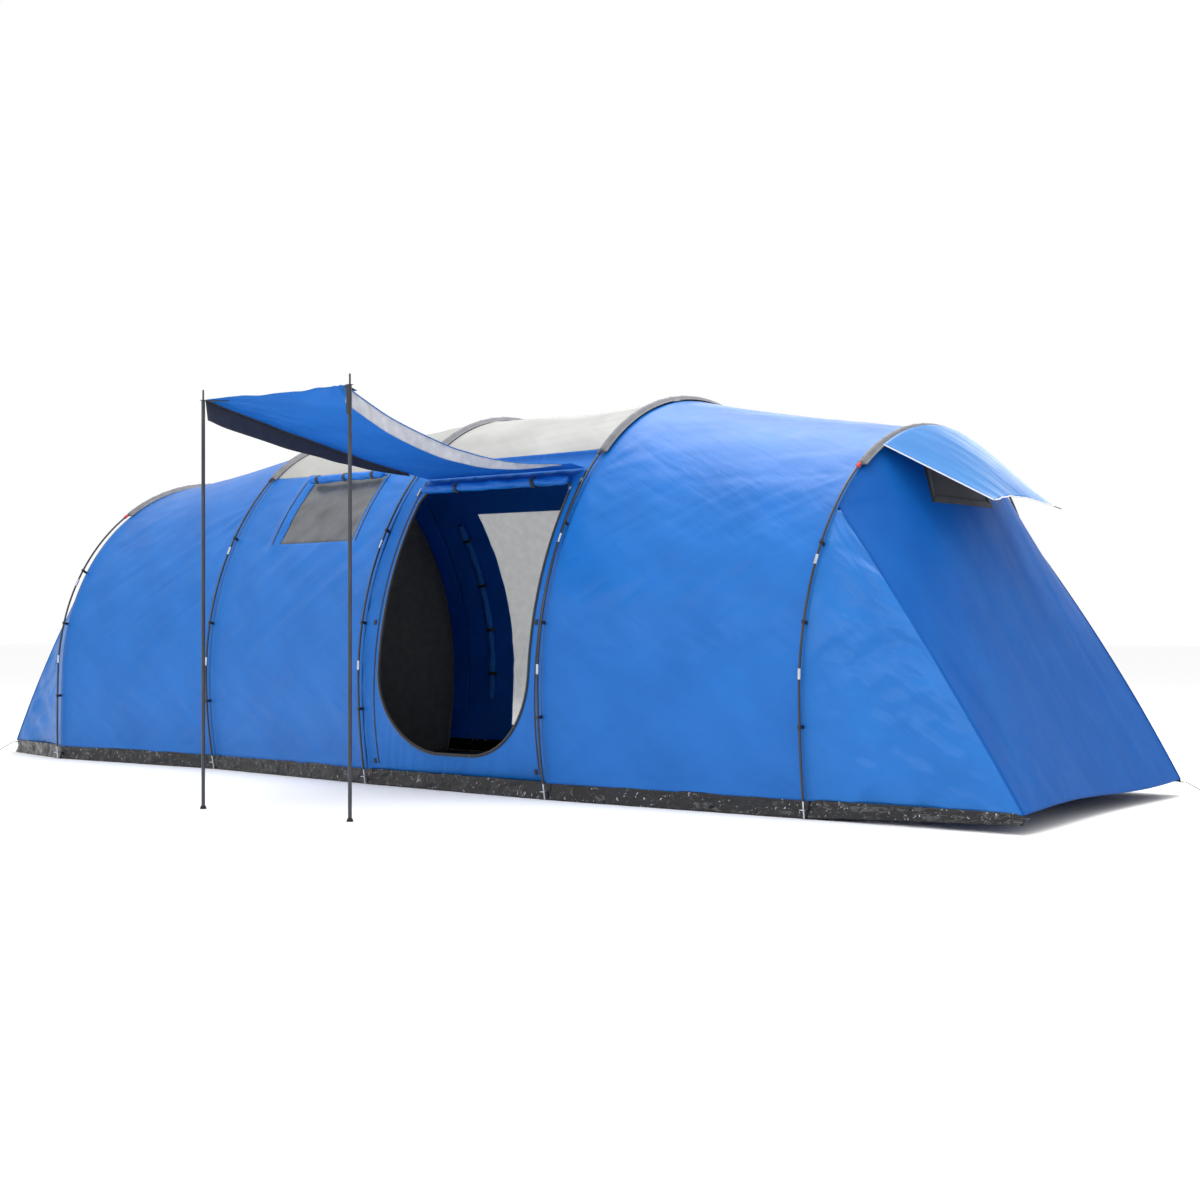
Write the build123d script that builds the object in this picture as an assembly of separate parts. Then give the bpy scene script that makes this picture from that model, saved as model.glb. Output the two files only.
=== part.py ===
from build123d import *
import math
import os

# Five-hoop tunnel tent with a porch canopy held up on two upright poles.
# Millimetres. +X runs along the tunnel, the porch door faces -Y, +Z is up.
# The origin is on the ground, on the centre line, midway between the end hoops.

# ---- tunnel and hoops -------------------------------------------------------
tunnel_length = 5352.0
bay_lengths = (1352.0, 1368.0, 1259.0)      # the last bay takes what is left
arch_height = 1954.0                        # top of the tallest pole sleeve
arch_half_width = 1188.0                    # widest hoop, at belly height
hoop_lowering = (242.0, 66.0, 13.0, 0.0, 236.0)
hoop_narrowing = (47.0, 132.0, 37.0, 0.0, 100.0)
hoop_foot_taper = (13.0, 56.0, 49.0, 53.0, 38.0)
hoop_lean = (2.75, 0.0, 0.0, 0.0, 0.0)      # degrees, top towards +X
belly_height = 529.0                        # where each hoop is widest
crown_fullness = 1.03                       # crown radius over that of an ellipse

pole_radius = 5.5
sleeve_width = 60.0
sleeve_height = 24.0
sleeve_hole = 5.8
sleeve_drops = (230.0, 246.0, 305.0, 325.0, 219.0)   # sleeve end below its top
seat_gap = 0.3                              # between pieces that lie on each other
sloped_seat = 0.9                           # the same where one of them slopes away
sleeve_seat = 1.4                           # sleeve over the fly, which rises beside a lower hoop
roll_seat = 0.8                             # roll or its tie to the wall, which is curved

# ---- fly sheet --------------------------------------------------------------
fabric = 2.0
end_fabric = 3.5                            # measured along the hoop, thinner square to the slope
fly_stand_off = 40.0                        # fly inside the hoop's outer line at the sides
hem_height = 76.0
roof_line = 1640.0
bedroom_inset = 90.0
bedroom_setback = 45.0

# ---- pegged-out ends: how far each corner is from its end hoop, and from the centre
left_reach = (714.0, 714.0)
right_reach = (964.0, 729.0)
left_corner_y = (950.0, 950.0)
right_corner_y = (970.0, 1000.0)
end_strips = 16
leg_strips = 6
gusset_top = 1300.0                         # where the side gussets meet the hoop

# ---- vents ------------------------------------------------------------------
vent_bottom = 1355.0
vent_top = 1500.0
vent_half_width = 265.0
hood_root_half = 480.0
hood_tip_half = 275.0
hood_reach = 425.0
hood_tip_height = 1335.0
hood_strips = 8

# ---- porch bay --------------------------------------------------------------
porch_hem_y = 1066.0
porch_belly = (1106.0, 560.0)
porch_top_y = 660.0
seam_height = 1550.0
seam_cord_radius = 4.0
door_from_hoop = (121.0, 1131.0)            # doorway edges from the hoop on its left
door_bottom = 182.0
door_top = 1500.0
door_corner = 400.0
door_upper_corner = 90.0
binding_width = 12.0
trim = 2.0                                  # thickness of zips, binding and webbing
porch_zip_from_hoop = (84.0, 1181.0)
zip_width = 8.0
zip_low = 110.0
zip_parked = 1490.0
door_slider_parked = 1450.0
slider_size = (13.0, 7.0, 22.0)
toggle_from_hoop = (58.0, 1160.0)
toggle_heights = (120.0, 815.0)
toggle_size = (14.0, 6.0, 24.0)

# ---- canopy and its poles ---------------------------------------------------
pole_from_hoop = (400.0, 1280.0)            # along the tunnel
pole_out = (2390.0, 2320.0)                 # from the tunnel's centre line
porch_pole_radius = 8.0
porch_pole_height = 1780.0
porch_pole_joints = (555.0, 1170.0)
pole_swage = 22.0
foot_height = 14.0
foot_radius = 15.0
spigot_radius = 4.0
spigot_length = 46.0
spigot_neck = (3.7, 3.0)                    # radius and height of the neck in the eyelet
eyelet_gap = 0.3
canopy_fabric = 3.0
canopy_root_from_hoop = (96.0, 1168.0)
canopy_fold = 110.0                         # seam to the line where the canopy folds down
canopy_side_gap = 16.0                      # sheet to pole, so that it can swing between
corner_tab_half = 11.0                      # half the width of the tab with the eyelet
valance_left_drop = 90.0
valance_right_drop = 60.0
valance_start = 60.0                        # from the seam, clear of the wall

# ---- windows, rolls and rear door -------------------------------------------
window_from_hoop = (424.0, 1071.0)          # window edges from the hoop on its left
window_z = (1242.0, 1600.0)
window_zip_from_hoop = (362.0, 1102.0)
window_roll_radius = 22.0
window_roll_lift = 4.0                      # roll's middle above the pane
door_roll_radius = 24.0
rear_door_from_hoop = (379.0, 1134.0)
rear_door_z = (180.0, 1480.0)
rear_roll_from_hoop = 224.0
rear_roll_radius = 26.0
rear_roll_z = (330.0, 1440.0)
tie_width = 18.0
tie_thickness = 1.5

# ---- feet, clips and small fittings -----------------------------------------
foot_pin_radius = 4.0
pole_end_height = 75.0
ring_radius = 14.0
ring_wire = 2.0
ring_height = 40.0
clip_heights = (380.0, 815.0)
top_clip_below_sleeve = 350.0
ferrule_height = 600.0
top_ferrule_below_sleeve = 425.0
ferrule_length = 45.0
ferrule_radius = 7.6
clip_radius = 9.0
clip_length = 14.0
groundsheet_thickness = 1.5
tab_size = (16.0, 10.0, 3.0)
loop_size = (24.0, 24.0, 3.0)
loop_hole = 6.0
loop_inset = 4.0                            # loop's inner edge, inside its corner

# ---- peg-out cords at the two corners that show one --------------------------
cord_diameter = 4.0
cord_routes = {
    "peg_cord_left": [(-3411.7, -962.0, 64.0), (-3453.0, -990.0, 38.0), (-3498.0, -1016.0, 6.0)],
    "peg_cord_right": [(3426.7, 1010.0, 64.0), (3469.0, 1038.0, 38.0), (3516.0, 1062.0, 6.0)],
}

os.makedirs("parts", exist_ok=True)


def save(name, *solids):
    """Write one node; several solids stay separate in it."""
    shape = solids[0] if len(solids) == 1 else Compound(children=list(solids))
    export_step(shape, "parts/" + name + ".step")


def only_solid(shape):
    """The largest solid of a cut, without slivers."""
    return max(shape.solids(), key=lambda solid: solid.volume)


hoop_x = [-tunnel_length / 2]
for length in bay_lengths:
    hoop_x.append(hoop_x[-1] + length)
hoop_x.append(tunnel_length / 2)
hoops = range(len(hoop_x))


def beside(hoop, offsets):
    """x values at those distances from a hoop."""
    return tuple(hoop_x[hoop] + offset for offset in offsets)


window_x = beside(1, window_from_hoop)
window_zip_x = beside(1, window_zip_from_hoop)
rear_door_x = beside(1, rear_door_from_hoop)
rear_roll_x = hoop_x[1] + rear_roll_from_hoop
door_left, door_right = beside(2, door_from_hoop)
porch_zip_x = beside(2, porch_zip_from_hoop)
toggle_x = beside(2, toggle_from_hoop)
canopy_root = beside(2, canopy_root_from_hoop)
pole_foot = tuple((x, -out) for x, out in zip(beside(2, pole_from_hoop), pole_out))
hoop_height = [arch_height - drop for drop in hoop_lowering]
hoop_half_width = [arch_half_width - less for less in hoop_narrowing]


class Arch:
    """A three-centred arch: foot, side and crown arcs that are tangent to each other."""

    def __init__(self, x, height, half_width, taper, lean, inset=0.0):
        self.x, self.lean = x, math.radians(lean)
        rise = height - belly_height
        crown = crown_fullness * half_width ** 2 / rise
        drop = crown - rise
        side = (half_width ** 2 + drop ** 2 - crown ** 2) / (2 * (half_width - crown))
        foot = (belly_height ** 2 + taper ** 2) / (2 * taper)
        sign = 1 if side > crown else -1
        self.shoulder = math.atan2(-sign * drop, sign * (side - half_width))
        self.foot = (half_width - foot, belly_height, foot - inset)
        self.side = (half_width - side, belly_height, side - inset)
        self.crown = (0.0, height - crown, crown - inset)
        self.shoulder_z = belly_height + (side - inset) * math.sin(self.shoulder)
        self.top = height - inset

    def zone(self, z):
        if z < belly_height:
            return self.foot
        return self.side if z < self.shoulder_z else self.crown

    def y(self, z):
        centre_y, centre_z, radius = self.zone(z)
        return centre_y + math.sqrt(max(radius ** 2 - (z - centre_z) ** 2, 0.0))

    def point(self, z, side=1):
        return self.place(side * self.y(z), z)

    def place(self, y, z):
        return Vector(self.x + z * math.sin(self.lean), y, z * math.cos(self.lean))

    def up(self):
        return Vector(math.sin(self.lean), 0, math.cos(self.lean))

    def across(self):
        return Vector(math.cos(self.lean), 0, -math.sin(self.lean))

    def inward(self, z, side=1):
        """Unit vector from the arch towards the centre of its arc."""
        centre_y, centre_z, radius = self.zone(z)
        y = -(self.y(z) - centre_y) / radius
        return Vector(0, side * y, 0) + self.up() * (-(z - centre_z) / radius)

    def leg(self, low, high, side=1):
        """Arcs of one side, from low to high."""
        stops = [low] + [z for z in (belly_height, self.shoulder_z) if low < z < high] + [high]
        arcs = []
        for start, end in zip(stops, stops[1:]):
            stations = (start, (start + end) / 2, end)
            arcs.append(ThreePointArc(*(self.point(z, side) for z in stations)))
        return arcs

    def over(self, low):
        """Arcs from +Y over the crown to -Y."""
        turn = max(low, self.shoulder_z)
        right = self.leg(low, turn) if low < turn else []
        left = self.leg(low, turn, -1) if low < turn else []
        crown = ThreePointArc(self.point(turn), self.place(0, self.top), self.point(turn, -1))
        return right + [crown] + left[::-1]

    def section(self, low):
        """Closed wire: the arch above low and a straight line at its foot."""
        return Wire(self.over(low) + [Line(self.point(low, -1), self.point(low))])

    def plane_at(self, z, side=1):
        """Plane across the leg at height z: x points inwards, z runs along the leg."""
        normal = self.inward(z, side)
        along = self.across().cross(normal)
        return Plane(origin=self.point(z, side), x_dir=normal, z_dir=along)


def mix(values, x):
    """Value between the two hoops on either side of x."""
    for i in range(len(hoop_x) - 1):
        if x <= hoop_x[i + 1] or i == len(hoop_x) - 2:
            share = (x - hoop_x[i]) / (hoop_x[i + 1] - hoop_x[i])
            return values[i] + share * (values[i + 1] - values[i])


def pole_arch(i):
    """Centre line of a hoop pole, in the middle of its sleeve."""
    return Arch(hoop_x[i], hoop_height[i], hoop_half_width[i], hoop_foot_taper[i], hoop_lean[i],
                sleeve_height / 2)


def fly_arch(x, inset=0.0):
    """Outer face of the fly sheet at x, or a face that far inside it."""
    return Arch(x, mix(hoop_height, x) - sleeve_height - sleeve_seat, mix(hoop_half_width, x) - fly_stand_off,
                mix(hoop_foot_taper, x), mix(hoop_lean, x), inset)


def tunnel(x_from, x_to, inset, low):
    sections = [fly_arch(x, inset).section(low) for x in (x_from, x_to)]
    return Solid.make_loft(sections, ruled=True)


def tunnel_shell(x_from, x_to, inset, wall, low=hem_height):
    """Fabric between two hoops, open at both ends and underneath."""
    return tunnel(x_from, x_to, inset, low) - tunnel(x_from, x_to, inset + wall, low - 30)


def block(x_range, y_range, z_range):
    size = [b - a for a, b in (x_range, y_range, z_range)]
    centre = [(a + b) / 2 for a, b in (x_range, y_range, z_range)]
    return Pos(*centre) * Box(*size)


far = 4000.0
everywhere = (-far, far)
front_half = (-far, 0.0)
rear_half = (0.0, far)

# ---- hoop poles, sleeves and their fittings ---------------------------------
ferrules, clips, pins, rings, straps, red_tabs = [], [], [], [], [], []
for i in hoops:
    arch = pole_arch(i)
    path = Wire(arch.over(pole_end_height))
    start = Plane(origin=path @ 0, x_dir=arch.across(), z_dir=path % 0)
    save("hoop_pole_%d" % (i + 1), only_solid(sweep(start * Circle(pole_radius), path=path)))

    sleeve_end = hoop_height[i] - sleeve_drops[i]
    path = Wire(arch.over(sleeve_end))
    start = Plane(origin=path @ 0, x_dir=arch.across(), z_dir=path % 0)
    ring = start * (Ellipse(sleeve_width / 2, sleeve_height / 2) - Circle(sleeve_hole))
    save("pole_sleeve_%d" % (i + 1), only_solid(sweep(ring, path=path)))

    fly = fly_arch(hoop_x[i])
    for side in (-1, 1):
        for z in (ferrule_height, sleeve_end - top_ferrule_below_sleeve):
            tube = Cylinder(ferrule_radius, ferrule_length) - Cylinder(pole_radius + 0.35, ferrule_length + 2)
            ferrules.append(only_solid(arch.plane_at(z, side) * tube))
        for z in clip_heights + (sleeve_end - top_clip_below_sleeve,):
            reach = (arch.point(z, side) - fly.point(z, side)).length
            reach *= abs(arch.inward(z, side).Y)
            bar_end = reach - 0.8
            hook = Cylinder(clip_radius, clip_length)
            hook += Pos(bar_end / 2, 0, 0) * Box(bar_end, 5, clip_length)
            hook -= Cylinder(pole_radius + seat_gap, clip_length + 2)
            clips.append(only_solid(arch.plane_at(z, side) * hook))
        foot = arch.plane_at(pole_end_height, side)
        run = (pole_end_height - 1.2) / abs(foot.z_dir.Z)
        downwards = -1 if foot.z_dir.Z > 0 else 1
        pin = foot * Pos(0, 0, downwards * run / 2) * Cylinder(foot_pin_radius, run)
        pins.append(only_solid(pin))
        pin_y = arch.y(ring_height)
        ring_y = pin_y + ring_radius - ring_wire - foot_pin_radius - 0.8
        rings.append(only_solid(Pos(hoop_x[i], side * ring_y, ring_height) * Torus(ring_radius, ring_wire)))
        skirt_y = fly.y(hem_height)
        strap = (skirt_y + sloped_seat, ring_y - ring_radius - ring_wire - seat_gap)
        strap_y = tuple(sorted(side * y for y in strap))
        straps.append(block((hoop_x[i] - 9, hoop_x[i] + 9), strap_y, (ring_height - 1, ring_height + 1)))
        tab = arch.plane_at(sleeve_end - 12, side)
        collar = Cylinder(pole_radius + 3, tab_size[0]) - Cylinder(pole_radius + seat_gap, tab_size[0] + 2)
        red_tabs.append(only_solid(tab * collar))

save("hoop_ferrules", *ferrules)
save("hoop_clips", *clips)
save("foot_pins", *pins)
save("foot_rings", *rings)
save("foot_straps", *straps)
save("sleeve_tabs", *red_tabs)

# ---- fly sheet over the tunnel ----------------------------------------------
bay = [tunnel_shell(hoop_x[i], hoop_x[i + 1], 0, fabric) for i in range(4)]
above_roof_line = block(everywhere, everywhere, (roof_line, far))
front_wall_space = block(everywhere, front_half, (0, roof_line))
rear_wall_space = block(everywhere, rear_half, (0, roof_line))

window = block(window_x, front_half, window_z)
rear_door = block(rear_door_x, rear_half, rear_door_z)
save("bedroom_fly_left", only_solid(bay[0]))
save("bedroom_fly_right", only_solid(bay[3]))
save("roof_window_bay", only_solid(bay[1] & above_roof_line))
save("roof_porch_bay", only_solid(bay[2] & above_roof_line))
save("rear_wall_porch_bay", only_solid(bay[2] & rear_wall_space))
window_wall = bay[1] & front_wall_space
save("window_wall", only_solid(window_wall - window))
save("window_pane", only_solid(window_wall & window))
rear_wall = bay[1] & rear_wall_space
save("rear_wall_window_bay", only_solid(rear_wall - rear_door))
save("rear_door_mesh", only_solid(rear_wall & rear_door))

trim_layer = tunnel_shell(hoop_x[1], hoop_x[2], -seat_gap - trim, trim) & front_wall_space
zips = [only_solid(trim_layer & block((x - zip_width / 2, x + zip_width / 2), front_half, window_z))
        for x in window_zip_x]
save("window_zips", *zips)

# Rolled window curtain along the top edge of the pane, in ties
curtain_z = window_z[1] + window_roll_lift
curtain_out = seat_gap + tie_thickness + window_roll_radius + roll_seat
curtain_ends = [fly_arch(x, -curtain_out).point(curtain_z, -1) for x in window_x]
roll_ties = []


def lay_roll(a, b, radius):
    """Straight roll between two points."""
    return only_solid(Plane(origin=(a + b) / 2, z_dir=b - a) * Cylinder(radius, (b - a).length))


def lay_tie(a, b, share, radius):
    """Loop of webbing round a straight roll, that share of the way along it."""
    ring = Cylinder(radius + seat_gap + tie_thickness, tie_width) - Cylinder(radius + seat_gap, tie_width + 2)
    return only_solid(Plane(origin=a + (b - a) * share, z_dir=b - a) * ring)


save("window_curtain_roll", lay_roll(*curtain_ends, window_roll_radius))
for share in (0.12, 0.5, 0.88):
    roll_ties.append(lay_tie(*curtain_ends, share, window_roll_radius))

# ---- porch bay: a wall of one arc, with a D-shaped doorway ------------------


def circle_through(a, b, c):
    """Centre and radius of the circle through three points."""
    (ax, ay), (bx, by), (cx, cy) = a, b, c
    a2, b2, c2 = ax ** 2 + ay ** 2, bx ** 2 + by ** 2, cx ** 2 + cy ** 2
    d = 2 * (ax * (by - cy) + bx * (cy - ay) + cx * (ay - by))
    ux = (a2 * (by - cy) + b2 * (cy - ay) + c2 * (ay - by)) / d
    uy = (a2 * (cx - bx) + b2 * (ax - cx) + c2 * (bx - ax)) / d
    return ux, uy, math.hypot(ax - ux, ay - uy)


porch_y, porch_z, porch_radius = circle_through(
    (-porch_hem_y, hem_height), (-porch_belly[0], porch_belly[1]), (-porch_top_y, roof_line))


def porch_wall_y(z, out=0.0):
    return porch_y - math.sqrt((porch_radius + out) ** 2 - (z - porch_z) ** 2)


def porch_layer(inner, outer, x_range, z_range):
    """Part of the porch wall's arc between two offsets from its outer face."""
    middle = (x_range[0] + x_range[1]) / 2
    length = x_range[1] - x_range[0]
    tube = Cylinder(porch_radius + outer, length) - Cylinder(porch_radius + inner, length + 2)
    tube = Pos(middle, porch_y, porch_z) * Rot(0, 90, 0) * tube
    return tube & block(x_range, (-far, -100.0), z_range)


def doorway(grow, depth=far):
    """D-shaped prism through the porch wall, larger by grow all round."""
    left, right = door_left - grow, door_right + grow
    bottom, top = door_bottom - grow, door_top + grow
    low, high = door_corner + grow, door_upper_corner + grow
    outline = Polyline((left + low, bottom), (right - low, bottom))
    outline += RadiusArc((right - low, bottom), (right, bottom + low), -low)
    outline += Line((right, bottom + low), (right, top - high))
    outline += RadiusArc((right, top - high), (right - high, top), -high)
    outline += Line((right - high, top), (left + high, top))
    outline += RadiusArc((left + high, top), (left, top - high), -high)
    outline += Line((left, top - high), (left, bottom + low))
    outline += RadiusArc((left, bottom + low), (left + low, bottom), -low)
    face = make_face(outline)
    return extrude(Plane.XZ * face, amount=depth)


porch_bay = (hoop_x[2], hoop_x[3])
porch_wall = porch_layer(-fabric, 0, porch_bay, (hem_height, roof_line)) - doorway(0)
save("porch_wall", only_solid(porch_wall))
binding = porch_layer(seat_gap, seat_gap + trim, porch_bay, (hem_height, seam_height - 15))
save("door_binding", only_solid((binding & doorway(binding_width)) - doorway(0)))

track_top = seam_height - 12
tracks = [only_solid(porch_layer(seat_gap, seat_gap + trim, (x - zip_width / 2, x + zip_width / 2),
                                 (zip_low, track_top))) for x in porch_zip_x]
save("porch_zips", *tracks)


def zip_slider(x, z, width=slider_size[0]):
    """Slider body with its pull tab hanging below, seated on a zip at height z."""
    angle = math.degrees(math.asin((z - porch_z) / porch_radius))
    seat = porch_radius + 2 * seat_gap + trim
    body = Pos(0, -seat - slider_size[1] / 2, 0) * Box(width, slider_size[1], slider_size[2])
    pull = Pos(0, -seat - slider_size[1] - 1.5, -18) * Box(width * 0.6, 3, 44)
    return only_solid(Pos(x, porch_y, porch_z) * Rot(-angle, 0, 0) * (body + pull))


save("porch_zip_slider_left", zip_slider(porch_zip_x[0], zip_parked))
save("porch_zip_slider_right", zip_slider(porch_zip_x[1], zip_parked))
save("door_zip_slider", zip_slider(door_right + binding_width / 2, door_slider_parked, binding_width - 2))

toggles = []
for x in toggle_x:
    for z in toggle_heights:
        span = (x - toggle_size[0] / 2, x + toggle_size[0] / 2)
        layer = porch_layer(seat_gap, seat_gap + toggle_size[1], span,
                            (z - toggle_size[2] / 2, z + toggle_size[2] / 2))
        toggles.append(only_solid(layer))
save("toggle_tabs", *toggles)

# Rolled door along the top of the doorway
roll_z = door_top - door_roll_radius + 16
roll_y = porch_wall_y(roll_z, seat_gap + tie_thickness + door_roll_radius + roll_seat)
roll_ends = [Vector(x, roll_y, roll_z) for x in (door_left + 4, door_right - 12)]
save("door_roll", lay_roll(*roll_ends, door_roll_radius))
for share in (0.25, 0.78):
    roll_ties.append(lay_tie(*roll_ends, share, door_roll_radius))

# Rolled rear door, inside the rear wall beside its opening
rear_tie_bore = rear_roll_radius + 2.0       # the roll is curved in its straight ties
rear_arch = fly_arch(rear_roll_x, fabric + roll_seat + tie_thickness + rear_tie_bore)
path = Wire(rear_arch.leg(*rear_roll_z))
start = Plane(origin=path @ 0, x_dir=(1, 0, 0), z_dir=path % 0)
save("rear_door_roll", only_solid(sweep(start * Circle(rear_roll_radius), path=path)))
for share in (0.15, 0.4, 0.65, 0.9):
    z = rear_roll_z[0] + share * (rear_roll_z[1] - rear_roll_z[0])
    ring = Cylinder(rear_tie_bore + tie_thickness, tie_width)
    ring -= Cylinder(rear_roll_radius + 2 * seat_gap, tie_width + 2)
    roll_ties.append(only_solid(rear_arch.plane_at(z) * ring))
save("roll_ties", *roll_ties)

# ---- sloping ends ------------------------------------------------------------


def end_corners(right, inset=0.0):
    """Near and far pegged corner at hem height."""
    sign, hoop = (1, hoop_x[4]) if right else (-1, hoop_x[0])
    reach, corner_y = (right_reach, right_corner_y) if right else (left_reach, left_corner_y)
    return [Vector(hoop + sign * (r - inset), side * (y - inset), hem_height)
            for r, y, side in zip(reach, corner_y, (-1, 1))]


def end_points(right, inset, low):
    """Points along the end hoop from near foot to far foot, and along the base, corner to corner."""
    arch = fly_arch(hoop_x[4] if right else hoop_x[0], inset)
    legs = [low + (gusset_top - low) * k / leg_strips for k in range(leg_strips)]
    centre_y, centre_z, radius = arch.crown
    reach = arch.y(gusset_top)
    first = math.atan2(gusset_top - centre_z, reach)
    turns = [first + (math.pi - 2 * first) * k / end_strips for k in range(end_strips + 1)]
    crown = []
    for turn in turns:
        z = centre_z + radius * math.sin(turn) if turn not in (turns[0], turns[-1]) else gusset_top
        crown.append(arch.place(-math.copysign(arch.y(z), math.cos(turn)), z))
    near = [arch.point(z, -1) for z in legs]
    rear = [arch.point(z, 1) for z in legs[::-1]]
    corner, far_corner = end_corners(right, inset)
    drop = Vector(0, 0, low - hem_height)
    base = [corner + drop + (far_corner - corner) * (k / end_strips) for k in range(end_strips + 1)]
    return near, crown, rear, base


def end_triangles(near, crown, rear, base):
    lead, tail = near + crown[:1], crown[-1:] + rear
    triangles = [(base[0], a, b) for a, b in zip(lead, lead[1:])]
    for k in range(len(crown) - 1):
        triangles.append((base[k], crown[k], crown[k + 1]))
        triangles.append((base[k], crown[k + 1], base[k + 1]))
    return triangles + [(base[-1], a, b) for a, b in zip(tail, tail[1:])]


def solid_of(triangles):
    """Closed solid of flat triangles."""
    body = Solid(Shell([Face(Wire.make_polygon(corners)) for corners in triangles]))
    return body if body.volume > 0 else Solid(body.wrapped.Reversed())


def band(outer, inner):
    """Triangles that join two edges of a sheet."""
    triangles = []
    for k in range(len(outer) - 1):
        triangles.append((outer[k], outer[k + 1], inner[k]))
        triangles.append((outer[k + 1], inner[k + 1], inner[k]))
    return triangles


def end_shell(right, inset, low):
    """Fabric of a pegged-out end: two side gussets and the sloping face, in flat strips."""
    outer, inner = end_points(right, inset, low), end_points(right, inset + end_fabric, low)
    triangles = end_triangles(*outer) + end_triangles(*inner)
    rims = []
    for near, crown, rear, base in (outer, inner):
        rims.append(near + crown + rear + base[::-1] + near[:1])
    return solid_of(triangles + band(*rims))


def vent_prism(right):
    """The vent's trapezoid, wider at its lower edge, through the sloping face."""
    sign = 1 if right else -1
    start = hoop_x[4] + 20 if right else hoop_x[0] - 20
    low, high = vent_half_width, vent_half_width * 0.8
    outline = Polyline((-low, vent_bottom), (low, vent_bottom), (high, vent_top), (-high, vent_top),
                       close=True)
    return extrude(Plane(origin=(start, 0, 0), x_dir=(0, 1, 0), z_dir=(1, 0, 0)) * make_face(outline),
                   amount=sign * 500)


meshes = []
for right, name in ((False, "left"), (True, "right")):
    end = end_shell(right, 0, hem_height)
    prism = vent_prism(right)
    save("end_panel_" + name, only_solid(end - prism))
    meshes.append(only_solid(end & prism))
save("vent_meshes", *meshes)

# Hoods: a stiffened flap from the hoop's crown out over the vent


def hood_layer(i, sign, rise):
    """Root along the crown and straight tip edge, on one face of the hood."""
    arch = pole_arch(i)
    centre_y, centre_z, radius = arch.crown
    clear = sleeve_width / 2 + seat_gap
    angle = math.asin(hood_root_half / radius)
    root, tip = [], []
    for k in range(hood_strips + 1):
        turn = angle * (1 - 2 * k / hood_strips)
        point = arch.place(-(radius + rise) * math.sin(turn), centre_z + (radius + rise) * math.cos(turn))
        root.append(point + arch.across() * (sign * clear))
        y = hood_tip_half * (2 * k / hood_strips - 1)
        tip.append(Vector(hoop_x[i] + sign * (clear + hood_reach), y, hood_tip_height + rise))
    return root, tip


for name, i, sign in (("left", 0, -1), ("right", 4, 1)):
    upper, lower = hood_layer(i, sign, fabric / 2), hood_layer(i, sign, -fabric / 2)
    rims = [root + tip[::-1] + root[:1] for root, tip in (upper, lower)]
    save("vent_hood_" + name, solid_of(band(*upper) + band(*lower) + band(*rims)))

# ---- bedrooms: inner tents hung inside both ends -----------------------------
fronts = []
for right, name in ((False, "left"), (True, "right")):
    if right:
        span = (hoop_x[3] + bedroom_setback, hoop_x[4])
        front_x = span[0]
    else:
        span = (hoop_x[0], hoop_x[1] - bedroom_setback)
        front_x = span[1]
    floor_level = groundsheet_thickness + seat_gap
    tent = tunnel_shell(span[0], span[1], bedroom_inset, fabric, floor_level)
    save("bedroom_" + name, only_solid(tent), end_shell(right, bedroom_inset, floor_level))
    sign = -1 if right else 1
    wire = fly_arch(front_x, bedroom_inset).section(floor_level)
    front = extrude(Face(wire), amount=fabric, dir=(sign, 0, 0))
    fronts.append(only_solid(front))
save("bedroom_fronts", *fronts)

# ---- groundsheet and the skirt strip under the hem ---------------------------


def skirt_line(side, inset):
    """Plan points of the skirt along one side, corner to corner."""
    k = 0 if side < 0 else 1
    left = end_corners(False)[k]
    right = end_corners(True)[k]
    feet = [(x, side * (fly_arch(x).y(hem_height) - inset)) for x in hoop_x]
    end = loop_inset + seat_gap
    first = (left.X + end, left.Y - side * inset)
    last = (right.X - end, right.Y - side * inset)
    return [first] + feet + [last]


skirts = []
for side in (-1, 1):
    outer, inner = skirt_line(side, 0), skirt_line(side, fabric)
    strip = make_face(Polyline(*(outer + inner[::-1]), close=True))
    skirts.append(only_solid(extrude(strip, amount=hem_height - seat_gap)))
save("mud_skirt", *skirts)
floor = skirt_line(-1, fabric) + skirt_line(1, fabric)[::-1]
floor = make_face(Polyline(*floor, close=True))
save("groundsheet", only_solid(extrude(floor, amount=groundsheet_thickness)))

# ---- canopy ------------------------------------------------------------------
seam = Vector(0, porch_wall_y(seam_height, seat_gap), seam_height)
front_middle = Vector(0, (pole_foot[0][1] + pole_foot[1][1]) / 2, porch_pole_height)
outwards = (front_middle - seam).normalized()
hinge = seam + outwards * canopy_fold
print("canopy hinge", round(hinge.Y, 2), round(hinge.Z, 2))
print("porch arc centre", round(porch_y, 2), round(porch_z, 2), "radius", round(porch_radius, 2))
fold_ends = [Vector(x, hinge.Y, hinge.Z) for x in canopy_root]
wall_turn = math.asin((seam_height - porch_z) / (porch_radius + seat_gap))
wall_turn -= math.atan2(outwards.Z, -outwards.Y)
strip_start = canopy_fabric / 2 * math.tan(wall_turn)
strip = Box(canopy_root[1] - canopy_root[0], canopy_fold - strip_start, canopy_fabric)
strip_middle = seam + outwards * (canopy_fold + strip_start) * 0.5
strip_plane = Plane(origin=(sum(canopy_root) / 2, strip_middle.Y, strip_middle.Z), x_dir=(1, 0, 0),
                    z_dir=Vector(1, 0, 0).cross(outwards * -1) * -1)
save("canopy_seam", only_solid(strip_plane * strip + lay_roll(*fold_ends, seam_cord_radius)))

root_gap = seam_cord_radius + seat_gap
canopy_front = []
for (x, y), side in zip(pole_foot, (1, -1)):
    canopy_front.append(Vector(x + side * canopy_side_gap, y, porch_pole_height))


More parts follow.
